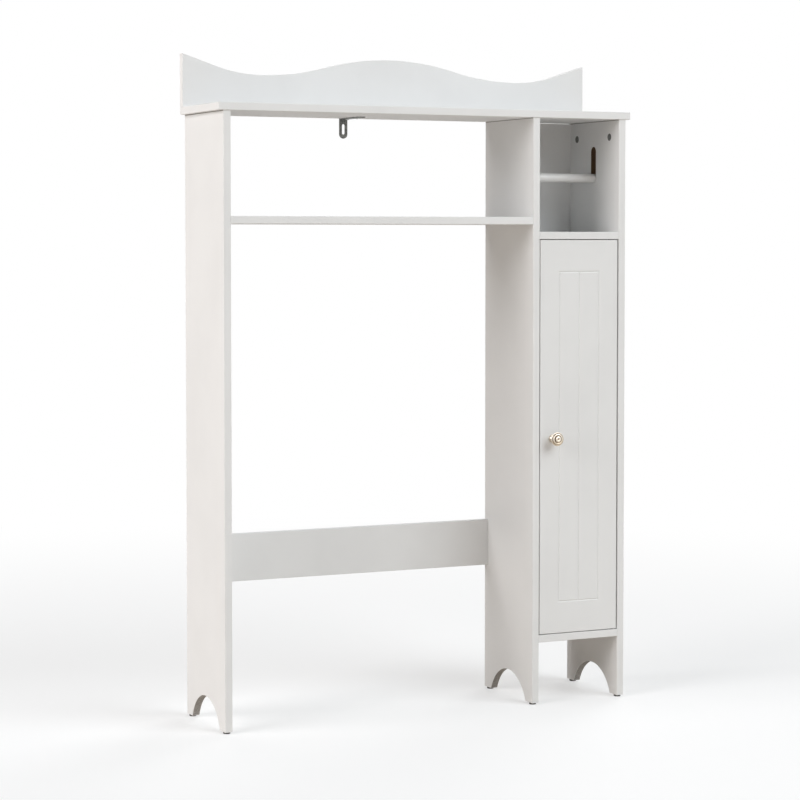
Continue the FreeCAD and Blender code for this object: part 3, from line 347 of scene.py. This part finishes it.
def painted_board(node, cored=True, arched=False):
    """Satin white paint over a pressed-fibre board: a fine spray texture, faint clouds, thinner paint on
    the eased edges, and bare brown fibre inside holes and slots. An arched panel has a thinner coat in
    its arch, darkened as painted shade, and a dark joint line at its upper end that also paints the
    shadow under the top's overhang."""
    finish = Finish(f"satin_white_{node}", IOR=1.47)
    inside, edge = depth_in_box(finish, node)
    cloud = finish.noise(7, detail=3)
    colour = finish.mix(finish.between(cloud, 0.35, 0.7), PAINT, PAINT_CLOUD)
    worn = finish.math("MULTIPLY", finish.between(edge, *WORN_EDGE, 1, 0), finish.noise(60, detail=3))
    colour = finish.mix(finish.math("MULTIPLY", worn, 0.55), colour, PAINT_EDGE)
    roughness = finish.between(finish.noise(24, detail=4), 0.3, 0.7, 0.64, 0.75)
    spray = finish.noise(620, detail=2, roughness=0.6)
    normal = finish.bump(spray, 0.00006, 0.35)
    if arched:
        # Painted shadow: a dark band just below the panel's upper end, a joint line and the overhang's
        # shadow
        low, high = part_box(node)
        parts = finish.parts(finish.place)
        upper = finish.between(parts["Z"], *(high.z - drop for drop in SEAM_SHADOW_DROP))
        inset = finish.between(parts["Y"], *(low.y + step for step in SEAM_SHADOW_INSET))
        colour = finish.mix(finish.math("MULTIPLY", upper, inset), colour, PAINT_SEAM_SHADOW)
    if cored:
        bare = finish.between(inside, *BARE_FIBRE)
        fibre = finish.mix(finish.noise(900, detail=4, roughness=0.7), CORE_DARK, CORE_LIGHT)
        if arched:
            # In the arch: a thinner coat over the fibre, darkened further as painted shade
            cover = finish.between(finish.noise(420, detail=3), 0.3, 1.2)
            thin_shaded_coat = finish.mix(cover, PAINT_THIN_SHADED, PAINT_EDGE)
            fibre = finish.mix(finish.between(parts["Z"], ARCH_TOP, ARCH_TOP + MM), thin_shaded_coat, fibre)
        colour = finish.mix(bare, colour, fibre)
        roughness = finish.math("ADD", roughness, finish.math("MULTIPLY", bare, 0.45))
    return finish.wear(colour, roughness, normal)


def white_back():
    """Thin hardboard: smooth paint towards the front, and the fine screen of its press behind."""
    low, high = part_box("cabinet_back_panel")
    finish = Finish("painted_hardboard", IOR=1.47)
    parts = finish.parts(finish.place)
    behind = finish.between(parts["Y"], low.y + 0.001, high.y - 0.0005)
    cloud = finish.between(finish.noise(8, detail=3), 0.3, 0.7)
    front = finish.mix(cloud, PAINT, PAINT_CLOUD)
    back = finish.mix(finish.noise(340, detail=3), BACK_DARK_TONE, BACK_LIGHT_TONE)
    across = finish.math("SINE", finish.math("MULTIPLY", parts["X"], 2 * pi / SCREEN_PITCH))
    upward = finish.math("SINE", finish.math("MULTIPLY", parts["Z"], 2 * pi / SCREEN_PITCH))
    screen = finish.math("MULTIPLY", finish.math("MULTIPLY", across, upward), behind)
    normal = finish.bump(screen, 0.00012, 0.6, finish.bump(finish.noise(700), 0.00005, 0.3))
    roughness = finish.between(behind, 0, 1, 0.66, 0.78)
    return finish.wear(finish.mix(behind, front, back), roughness, normal)


def zinc(name, light, dark, roughness):
    """Bright zinc on steel: small crystal patches, a faint brushing and duller spots."""
    finish = Finish(name, Metallic=1.0)
    crystals = finish.add("ShaderNodeTexVoronoi", {"Vector": finish.place, "Scale": 420.0})
    tone = finish.add("ShaderNodeRGBToBW", {"Color": crystals.outputs["Color"]}).outputs[0]
    stain = finish.math("MULTIPLY", finish.noise(190, 4), 0.65)
    tone = finish.math("ADD", finish.math("MULTIPLY", tone, 0.35), stain)
    rough = finish.between(finish.noise(330, 3), 0.3, 0.7, roughness - 0.07, roughness + 0.09)
    normal = finish.bump(finish.noise(1500, 2), 0.00002, 0.4)
    return finish.wear(finish.mix(finish.between(tone, 0.25, 0.75), dark, light), rough, normal)


def champagne(axis):
    """Pale gold metal, polished on the ridges and dark in the valleys between them: an antique toning
    that also paints the shade in the grooves. Both follow the distance from the knob's axis, and the
    lower side is mixed towards a darker, warmer tone as painted shade, where less light falls."""
    finish = Finish("champagne_gold", Metallic=1.0)
    from_axis = finish.vector("SUBTRACT", finish.place, axis)
    parts = finish.parts(from_axis)
    across = finish.length(finish.vector("MULTIPLY", from_axis, (1, 0, 1)))
    polish, toned_and_shaded = METAL_POLISHED, METAL_TONED_AND_SHADED
    # Dark valley bands and centre: antique toning, and painted shade in the grooves
    rings = finish.ramp(
        finish.math("DIVIDE", across, KNOB_RADIUS),
        (0.00, toned_and_shaded), (0.07, toned_and_shaded), (0.17, polish), (0.39, polish), (0.47, toned_and_shaded), (0.53, toned_and_shaded),
        (0.60, polish), (0.75, polish), (0.82, toned_and_shaded), (0.86, toned_and_shaded), (0.92, polish), (1.00, polish),
    )
    patch = finish.between(finish.noise(260, 3), 0.35, 0.7)
    shaded_lower_tone = finish.mix(patch, (0.54, 0.44, 0.32, 1), (0.45, 0.36, 0.255, 1))
    front = finish.between(parts["Y"], *KNOB_HEAD, 1, 0)
    stem = finish.mix(patch, (0.56, 0.51, 0.44, 1), (0.48, 0.43, 0.365, 1))
    colour = finish.mix(front, stem, rings)
    # Painted shade: the knob's lower side turns darker and warmer, as where less light falls
    lower = finish.between(parts["Z"], 0.003, -0.009, 0, 0.75)
    colour = finish.mix(lower, colour, shaded_lower_tone)
    roughness = finish.between(finish.noise(420, 3), 0.3, 0.7, 0.34, 0.42)
    return finish.wear(colour, roughness, finish.bump(finish.noise(1200), 0.000006, 0.3))


def moulded(name, light, dark, roughness, grain):
    """Moulded plastic: a fine spark texture, and a shade that drifts a little."""
    finish = Finish(name, IOR=1.5)
    colour = finish.mix(finish.between(finish.noise(120, 3), 0.3, 0.7), dark, light)
    rough = finish.between(finish.noise(500, 2), 0.3, 0.7, roughness - 0.06, roughness + 0.08)
    return finish.wear(colour, rough, finish.bump(finish.noise(grain, 3, 0.7), 0.00004, 0.5))


def lacquered_rod():
    """White lacquer over turned wood: a glossier skin that lies a little uneven, with faint streaks of
    the grain along the rod."""
    finish = Finish("white_lacquer", IOR=1.5)
    grain = finish.noise(60, 4, place=finish.stretched((0.15, 4, 4)))
    streak = finish.between(grain, 0.3, 0.75)
    colour = finish.mix(streak, (0.79, 0.785, 0.775, 1), (0.77, 0.765, 0.754, 1))
    normal = finish.bump(finish.noise(180, 2), 0.000006, 0.3)
    return finish.wear(colour, finish.between(finish.noise(90, 3), 0.3, 0.7, 0.29, 0.34), normal)


def beech():
    """Pale pink-brown beech with short dark flecks along the dowel."""
    finish = Finish("beech")
    grain = finish.noise(90, 5, 0.6, finish.stretched((1, 6, 1)))
    fleck = finish.between(finish.noise(500, 2, 0.5, finish.stretched((1, 1, 0.2))), 0.58, 0.68)
    colour = finish.mix(finish.between(grain, 0.3, 0.7), (0.58, 0.40, 0.25, 1), (0.46, 0.29, 0.17, 1))
    colour = finish.mix(finish.math("MULTIPLY", fleck, 0.5), colour, (0.30, 0.17, 0.09, 1))
    return finish.wear(colour, finish.between(grain, 0, 1, 0.55, 0.75), finish.bump(grain, 0.0001, 0.5))


def ferrite():
    """Sintered magnet between two bright pole plates, told apart by height."""
    low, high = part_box("catch_magnet")
    finish = Finish("magnet_and_poles")
    height = finish.parts(finish.place)["Z"]
    off = finish.math("ABSOLUTE", finish.math("SUBTRACT", height, (low.z + high.z) / 2))
    plate = finish.between(off, *MAGNET_HALF)
    speck = finish.noise(900, 4, 0.7)
    stone = finish.mix(speck, (0.035, 0.034, 0.034, 1), (0.075, 0.073, 0.072, 1))
    steel = finish.mix(finish.noise(400, 3), (0.50, 0.50, 0.49, 1), (0.62, 0.62, 0.60, 1))
    finish.feed(finish.shader.inputs["Metallic"], plate)
    rough = finish.between(plate, 0, 1, 0.75, 0.36)
    return finish.wear(finish.mix(plate, stone, steel), rough, finish.bump(speck, 0.00005, 0.4))


def dress(node, finish):
    """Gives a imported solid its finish."""
    for place in nodes[node].material_slots:
        place.material = finish


BOARDS_WITH_ARCH = ("left_side_panel", "middle_panel", "right_side_panel")
BOARDS_LEVEL = ("open_shelf", "paper_cubby_floor", "cabinet_bottom_board")
BOARDS_WHOLE = ("back_splash", "door_panel", "lower_inner_shelf", "upper_inner_shelf")
for node in BOARDS_WITH_ARCH:
    dress(node, painted_board(node, arched=True))
for node in ("top_board", *BOARDS_LEVEL, "lower_back_rail"):
    dress(node, painted_board(node))
for node in BOARDS_WHOLE:
    dress(node, painted_board(node, cored=False))
dress("cabinet_back_panel", white_back())

bracket_zinc = zinc("bracket_zinc", (0.235, 0.235, 0.222, 1), (0.140, 0.140, 0.132, 1), 0.46)
screw_zinc = zinc("screw_zinc", (0.56, 0.56, 0.54, 1), (0.40, 0.40, 0.39, 1), 0.34)
cast_zinc = zinc("cast_zinc", (0.30, 0.30, 0.29, 1), (0.19, 0.19, 0.185, 1), 0.50)
white_nylon = moulded("white_nylon", (0.80, 0.80, 0.78, 1), (0.74, 0.74, 0.72, 1), 0.42, 800)
dark_plastic = moulded("dark_plastic", (0.062, 0.056, 0.051, 1), (0.036, 0.033, 0.030, 1), 0.55, 900)
dress("wall_bracket", bracket_zinc)
dress("strike_plate", screw_zinc)
dress("cam_lock_nuts", cast_zinc)
dress("catch_housing", white_nylon)
dress("catch_magnet", ferrite())


# Widths of rounded edges and reach of joined points in metres, and a sharp edge's least angle in degrees
ROUNDED = {
    "wall_bracket": 0.00035,
    "strike_plate": 0.00020,
    "cam_lock_nuts": 0.00025,
    "catch_housing": 0.00050,
    "catch_magnet": 0.00015,
}
JOIN_WITHIN = 0.000005
SHARP_EDGE = 40


def softened_edges(node, width):
    """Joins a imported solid's loose faces and rounds its sharp edges, as on stamped, cast and moulded
    pieces."""
    weld = nodes[node].modifiers.new("joined", "WELD")
    weld.merge_threshold = JOIN_WITHIN
    rim = nodes[node].modifiers.new("rounded", "BEVEL")
    rim.limit_method = "ANGLE"
    rim.angle_limit = radians(SHARP_EDGE)
    rim.width = width
    rim.segments = 2


for node, width in ROUNDED.items():
    softened_edges(node, width)


# Round fittings

def span(node):
    """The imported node's low and high corners, in millimetres."""
    low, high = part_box(node)
    return low / MM, high / MM


def middle(node):
    """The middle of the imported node's box, in millimetres."""
    low, high = span(node)
    return (low + high) / 2


# Where boards meet: ends of the level boards, middles of the upright ones, and rows of fittings
CAM_FRONT_INSET = 40
CAM_BACK_INSET = 36
SPLASH_SCREW_COUNT = 4
SPLASH_SCREW_END = 4
RAIL_DOWEL_STEP = 28
PANEL_LOW, PANEL_HIGH = span("middle_panel")
CAM_ROWS = (PANEL_LOW.y + CAM_FRONT_INSET, PANEL_HIGH.y - CAM_BACK_INSET)
COLUMN = (PANEL_HIGH.x, span("right_side_panel")[0].x)
PANEL_MIDDLES = [middle(node).x for node in BOARDS_WITH_ARCH]
BOARD_ENDS = [
    (middle(node).z, span(node)[end].x, into)
    for node in BOARDS_LEVEL
    for end, into in ((0, "-x"), (1, "+x"))
]
RAIL_LOW, RAIL_HIGH = span("lower_back_rail")
RAIL_MIDDLE = middle("lower_back_rail")
RAIL_ENDS = ((RAIL_LOW.x, "-x"), (RAIL_HIGH.x, "+x"))
SPLASH_LOW, SPLASH_HIGH = span("backsplash_screws")
SPLASH_SCREWS = np.linspace(
    SPLASH_LOW.x + SPLASH_SCREW_END,
    SPLASH_HIGH.x - SPLASH_SCREW_END,
    SPLASH_SCREW_COUNT,
)
SPLASH_DOWELS = (SPLASH_SCREWS[1:] + SPLASH_SCREWS[:-1]) / 2


def knob():
    """A turned knob, from its screw hole round the foot, neck and head to a small hollow in the middle:
    three rings step outwards as arcs, the foot and the flare under the head are powers of the height,
    and valleys are softened."""
    rise = np.linspace(0, 1, 24)
    cove = np.stack([4.5 + 2.3 * (1 - rise) ** 2.4, 2.6 + 5.2 * rise], 1)
    flare = np.stack([4.5 + 7.6 * rise ** 2.3, 11.2 + 8.7 * rise], 1)
    line = np.vstack([
        [[0, 11.05], [2.05, 11.05], [2.05, 0], [7.9, 0]],
        arc((7.9, 0.6), 0.6, -90, 0),
        arc((7.6, 1.6), 0.9, 0, 90),
        cove,
        flare,
        arc((12.7, 21.1), 1.3, -70, 150),
        arc((9.3, 22.6), 2.1, -15, 160),
        arc((3.9, 24.4), 2.6, -22, 150),
        [[0.7, 25.2], [0, 25.1]],
    ])
    grid = turned(softened(even(line, 0.16), 2), AROUND["knob"])
    centre = middle("door_knob")
    place = (centre.x, span("door_knob")[1].y, centre.z)
    finish = champagne(tuple(MM * value for value in place))
    knobs = placed(grid, [(place, "+x", "-y")])
    piece("ringed_knob", knobs, "door", ["door_knob"], finish, KNOB_CREASE)


def glides():
    """Under each foot, a disc with a rolled lower edge on a pointed nail."""
    corners = [(0, 0), (7, 0), (7, 4), (1.1, 4), (1.1, 15.5), (0, 18)]
    grid = turned(eased(corners, (1.3, 0.5, 0.12, 0.4)), AROUND["glide"])
    for side in ("left", "middle", "right"):
        for row in ("front", "back"):
            node = f"{side}_{row}_glide"
            centre = middle(node)
            spot = [((centre.x, centre.y, span(node)[0].z), "+x", "+z")]
            piece(f"{node}_turned", placed(grid, spot), "cabinet", [node], dark_plastic)


def paper_rod():
    """A straight rod with rounded ends."""
    low, high = span("paper_rod")
    length = high.x - low.x
    radius = (high.z - low.z) / 2
    corners = [(0, 0), (radius, 0), (radius, length), (0, length)]
    grid = turned(eased(corners, 1.6, 8), AROUND["rod"])
    rods = placed(grid, [((low.x, low.y + radius, low.z + radius), "+z", "+x")])
    piece("paper_rod_turned", rods, "paper_rod", ["paper_rod"], lacquered_rod())


def ramp_down(value, edge, soft):
    """1 below the edge and 0 above it, with a smooth step between."""
    t = np.clip((value - edge + soft) / (2 * soft), 0, 1)
    return 1 - t * t * (3 - 2 * t)


def screw(head, shank, length, pitch, countersunk):
    """A screw along Z with its head about the plane z = 0. The head's top is a shallow dome, or flat
    when countersunk, and sinks by a smooth cross: the deeper of two crossed bands. The thread fades in
    over one turn."""
    radius, height = head
    top = np.linspace(0, 0.72, 15)
    if countersunk:
        crown = np.stack([radius * top, 0 * top], 1)
        rim = eased([crown[-1], (radius, 0), (shank, height), (shank, height + 1)], (0.15, 0.2), 4)[1:]
    else:
        crown = np.stack([radius * top, -height * np.sqrt(1 - 0.55 * top ** 2)], 1)
        corners = [crown[-1], (radius, -0.45 * height), (radius, 0), (shank, 0), (shank, 0.8)]
        rim = eased(corners, (0.35 * height, 0.12, 0.12), 5)[1:]
    start = rim[-1, 1]
    tip = 1.6 * shank
    steps = np.linspace(start, length - tip, int((length - tip - start) / pitch * 8))[1:]
    body = np.stack([np.full_like(steps, shank), steps], 1)
    point = [[0.62 * shank, length - 0.55 * tip], [0.2 * shank, length - 0.08 * tip], [0, length]]
    grid = turned(np.vstack([crown, rim, body, point]), AROUND["screw"])
    arm, reach = 0.55, 0.6 * radius
    x, y = np.abs(grid[..., 0]), np.abs(grid[..., 1])
    cross = np.maximum(
        ramp_down(x, arm, 0.16) * ramp_down(y, reach, 0.25),
        ramp_down(y, arm, 0.16) * ramp_down(x, reach, 0.25),
    )
    cross[len(crown):] = 0
    grid[..., 2] += 1.3 * cross
    fade = np.clip((grid[..., 2] - start) / pitch, 0, 1)
    cut = threaded(grid, len(crown) + len(rim), len(body), pitch)
    grid[..., :2] *= (1 - cut * fade)[..., None]
    return grid


# Screw heads, as radius and height, and half the width of a packed strike screw's head
SPLASH_HEAD = (3.95, 2.6)
SMALL_HEAD = (3.5, 2.2)
KNOB_SCREW_HEAD = (4.0, 2.4)
STRIKE_HEAD = (2.55, 1.2)
STRIKE_SCREW_END = 2.6


def screws():
    """Every screw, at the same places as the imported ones."""
    small_radius, small_height = SMALL_HEAD
    splash_y = middle("backsplash_screws").y
    bracket_low, bracket_high = span("wall_bracket_screws")
    bracket_x = middle("wall_bracket_screws").x
    bracket_rows = (bracket_low.y + small_radius, bracket_high.y - small_radius)
    catch_low, catch_high = span("catch_screws")
    catch_y = middle("catch_screws").y
    catch_ends = (catch_low.x + small_radius, catch_high.x - small_radius)
    knob_middle = middle("knob_screw")
    knob_place = (knob_middle.x, span("knob_screw")[1].y - KNOB_SCREW_HEAD[1], knob_middle.z)
    strike_low, strike_high = span("strike_screws")
    strike_z = middle("strike_screws").z
    strike_ends = (strike_low.x + STRIKE_SCREW_END, strike_high.x - STRIKE_SCREW_END)
    sets = {
        "backsplash_screws": (
            screw(SPLASH_HEAD, 1.98, 38, 1.8, True),
            [((x, splash_y, SPLASH_LOW.z), "+x", "+z") for x in SPLASH_SCREWS],
            "cabinet",
        ),
        "wall_bracket_screws": (
            screw(SMALL_HEAD, 1.73, 12, 1.3, False),
            [((bracket_x, y, bracket_low.z + small_height), "+x", "+z") for y in bracket_rows],
            "cabinet",
        ),
        "catch_screws": (
            screw(SMALL_HEAD, 1.73, 14, 1.3, False),
            [((x, catch_y, catch_low.z + small_height), "+x", "+z") for x in catch_ends],
            "cabinet",
        ),
        "knob_screw": (screw(KNOB_SCREW_HEAD, 1.98, 26, 0.8, False), [(knob_place, "+x", "-y")], "door"),
        "strike_screws": (
            screw(STRIKE_HEAD, 1.38, 10, 1.1, True),
            [((x, strike_high.y, strike_z), "+x", "-y") for x in strike_ends],
            "door",
        ),
    }
    for node, (grid, places, body) in sets.items():
        screw_set = placed(grid, places)
        piece(f"{node}_threaded", screw_set, body, [node], screw_zinc, FINE_CREASE)


def shelf_pins():
    """Pins with a collar, cut flat on top where the shelf lies: no point is higher than the stem."""
    stem, collar, shank = 2.5, 4, 2.48
    corners = [
        (0, -8), (stem, -8), (stem, -1.5), (collar, -1.5), (collar, 0), (shank, 0), (shank, 9), (0, 9),
    ]
    grid = turned(eased(corners, (0.8, 0.15, 0.25, 0.12, 0.1, 0.5)), AROUND["pin"])
    grid[..., 1] = np.minimum(grid[..., 1], stem)
    low, high = span("shelf_pins")
    places = []
    for shelf in ("lower_inner_shelf", "upper_inner_shelf"):
        level = span(shelf)[0].z - stem
        for depth in (low.y + collar, high.y - collar):
            places += [((COLUMN[0], depth, level), "-y", "-x"), ((COLUMN[1], depth, level), "+y", "+x")]
    pins = placed(grid, places)
    piece("shelf_pins_turned", pins, "cabinet", ["shelf_pins"], screw_zinc)


def pivots():
    """The door's two pins with rounded ends, and the flanged bushes that they turn in."""
    axis = middle("upper_pivot_pin")
    door_low, door_high = span("door_panel")
    gap = span("paper_cubby_floor")[0].z - door_high.z
    tip = span("upper_pivot_pin")[1].z - door_high.z
    end = gap + 11
    radius, bore, sleeve, flange = 2.98, 3.05, 5, 6.5
    pin = turned(eased([(0, -14), (radius, -14), (radius, tip), (0, tip)], 0.8), AROUND["pin"])
    ring = [
        (bore, 7), (bore, 0.3), (flange, 0.3), (flange, gap),
        (sleeve, gap), (sleeve, end), (bore, end), (bore, 7),
    ]
    bush = turned(eased(ring, (0.35, 0.4, 0.1, 0.1, 0.4, 0.3)), AROUND["bush"])
    for place, level, into in (("upper", door_high.z, "+z"), ("lower", door_low.z, "-z")):
        spot = [((axis.x, axis.y, level), "+x", into)]
        for kind, grid, body, slot, finish in (
            ("pin", pin, "door", "zinc_steel", screw_zinc),
            # Dark plastic for the bushes, chosen partly so that they show as shade in the door's gaps
            ("bush", bush, "cabinet", "dark_plastic", dark_plastic),
        ):
            node = f"{place}_pivot_{kind}"
            piece(f"{node}_turned", placed(grid, spot), body, [node], finish)


def dowels():
    """Fluted dowels: the radius falls by a cosine of the angle, once per flute, and the ends taper."""
    radius, flutes, depth = 3.98, 18, 0.035
    corners = [(0, -20), (radius, -20), (radius, 10), (0, 10)]
    grid = turned(eased(corners, 1.1), AROUND["dowel"])
    angle = 2 * pi * np.arange(AROUND["dowel"]) / AROUND["dowel"]
    flute = 1 - depth * (0.5 - 0.5 * np.cos(flutes * angle))
    grid[..., :2] *= flute[None, :, None]
    panel_y = middle("middle_panel").y
    rail_rows = (RAIL_MIDDLE.z - RAIL_DOWEL_STEP, RAIL_MIDDLE.z + RAIL_DOWEL_STEP)
    top = span("top_board")[1].z
    places = [((x, panel_y, PANEL_HIGH.z), "+x", "+z") for x in PANEL_MIDDLES]
    places += [((x, panel_y, level), "-z", into) for level, x, into in BOARD_ENDS]
    places += [((x, RAIL_MIDDLE.y, z), "+y", into) for x, into in RAIL_ENDS for z in rail_rows]
    places += [((x, RAIL_MIDDLE.y, top), "+x", "-z") for x in SPLASH_DOWELS]
    dowel_set = placed(grid, places)
    piece("wood_dowels_fluted", dowel_set, "cabinet", ["wood_dowels"], beech(), FINE_CREASE)


def cam_bolts():
    """Bolts with a ball-edged head, a plain shank, and a coarse thread that winds as a screw's does."""
    ball, stem, radius, pitch = 3.4, 2.5, 2.98, 2.0
    corners = [(0, -36.5), (ball, -36.5), (ball, -32.5), (stem, -32.5), (stem, -0.4), (radius, 0.2)]
    shank = eased(corners, (1.0, 0.8, 0.2, 0.2))
    rise = np.linspace(0.4, 9.2, 60)
    thread = np.stack([np.full_like(rise, radius), rise], 1)
    grid = turned(np.vstack([shank, thread, [[2.3, 9.9], [0, 10]]]), AROUND["bolt"])
    grid[..., :2] *= (1 - threaded(grid, len(shank), len(thread), pitch))[..., None]
    places = [((x, y, PANEL_HIGH.z), "+x", "+z") for x in PANEL_MIDDLES for y in CAM_ROWS]
    places += [((x, y, level), "-z", into) for level, x, into in BOARD_ENDS for y in CAM_ROWS]
    places += [((x, RAIL_MIDDLE.y, RAIL_MIDDLE.z), "+y", into) for x, into in RAIL_ENDS]
    bolts = placed(grid, places)
    piece("cam_bolts_threaded", bolts, "cabinet", ["cam_bolts"], screw_zinc, FINE_CREASE)


knob()
glides()
paper_rod()
screws()
shelf_pins()
pivots()
dowels()
cam_bolts()


# Room

def seen_directly(tree):
    """1 for rays that show the room itself: from the camera, in a gloss, or through something clear."""
    path = tree.nodes.new("ShaderNodeLightPath")
    total = path.outputs["Is Camera Ray"]
    for name in ("Is Glossy Ray", "Is Transmission Ray"):
        more = tree.nodes.new("ShaderNodeMath")
        more.operation = "MAXIMUM"
        tree.links.new(total, more.inputs[0])
        tree.links.new(path.outputs[name], more.inputs[1])
        total = more.outputs[0]
    return total


def room():
    """A white surround that lights softly from all sides."""
    world = bpy.data.worlds.new("room")
    world.use_nodes = True
    tree = world.node_tree
    tree.nodes.clear()
    seen = tree.nodes.new("ShaderNodeBackground")
    seen.inputs["Color"].default_value = WHITE
    light = tree.nodes.new("ShaderNodeBackground")
    light.inputs["Color"].default_value = WHITE
    light.inputs["Strength"].default_value = ROOM_LIGHT
    choice = tree.nodes.new("ShaderNodeMixShader")
    out = tree.nodes.new("ShaderNodeOutputWorld")
    tree.links.new(seen_directly(tree), choice.inputs[0])
    tree.links.new(light.outputs[0], choice.inputs[1])
    tree.links.new(seen.outputs[0], choice.inputs[2])
    tree.links.new(choice.outputs[0], out.inputs["Surface"])
    bpy.context.scene.world = world


def floor():
    """A plain pale floor, seen part white and part shaded, all white far from the cabinet, and duller
    and warmer in the light that it gives back."""
    corners = [(FLOOR_HALF * x, FLOOR_HALF * y, 0) for x, y in ((-1, -1), (1, -1), (1, 1), (-1, 1))]
    mesh = bpy.data.meshes.new("floor")
    mesh.from_pydata(corners, [], [(0, 1, 2, 3)])
    finish = Finish("pale_floor")
    tree = finish.tree
    glow = finish.between(finish.length(finish.place), *FLOOR_GLOW_REACH, *FLOOR_GLOW)
    shaded = finish.add("ShaderNodeBsdfDiffuse", {"Color": FLOOR_SEEN}).outputs[0]
    white = finish.add("ShaderNodeEmission", {"Color": WHITE}).outputs[0]
    bounce = finish.add("ShaderNodeBsdfDiffuse", {"Color": FLOOR_BOUNCE}).outputs[0]
    seen = finish.add("ShaderNodeMixShader", {0: glow, 1: shaded, 2: white}).outputs[0]
    choice = finish.add("ShaderNodeMixShader", {0: seen_directly(tree), 1: bounce, 2: seen}).outputs[0]
    finish.feed(tree.nodes["Material Output"].inputs["Surface"], choice)
    tree.nodes.remove(finish.shader)
    mesh.materials.append(finish.material)
    made = bpy.data.objects.new("floor", mesh)
    bpy.context.scene.collection.objects.link(made)


def lamps():
    """Broad round lights from the left and the front, and a fainter one from behind on the right. Each
    is as wide as its spread, seen from the cabinet, and its power gives its strength there."""
    aim = (cad_low + cad_high) / 2
    for name, (bearing, height, strength, spread, colour) in LAMPS.items():
        half = radians(spread) / 2
        lamp = bpy.data.lights.new(name, "AREA")
        lamp.shape = "DISK"
        lamp.color = colour
        lamp.size = 2 * LAMP_DISTANCE * tan(half)
        lamp.energy = strength * pi * (LAMP_DISTANCE / cos(half)) ** 2
        made = bpy.data.objects.new(name, lamp)
        made.rotation_euler = Euler((radians(90 - height), 0, -radians(bearing)))
        made.location = aim + made.rotation_euler.to_matrix() @ Vector((0, 0, LAMP_DISTANCE))
        made.visible_camera = False
        bpy.context.scene.collection.objects.link(made)


def camera():
    """The picture's own view."""
    eye = bpy.data.cameras.new("camera")
    eye.sensor_width = CAMERA_SENSOR
    eye.lens = CAMERA_LENS
    eye.shift_y = CAMERA_SHIFT
    made = bpy.data.objects.new("camera", eye)
    made.location = CAMERA_PLACE
    made.rotation_euler = Euler((pi / 2 - CAMERA_PITCH, 0, -CAMERA_YAW))
    bpy.context.scene.collection.objects.link(made)
    bpy.context.scene.camera = made


room()
floor()
lamps()
camera()
bpy.context.scene.view_settings.view_transform = "Standard"

bpy.context.view_layer.update()
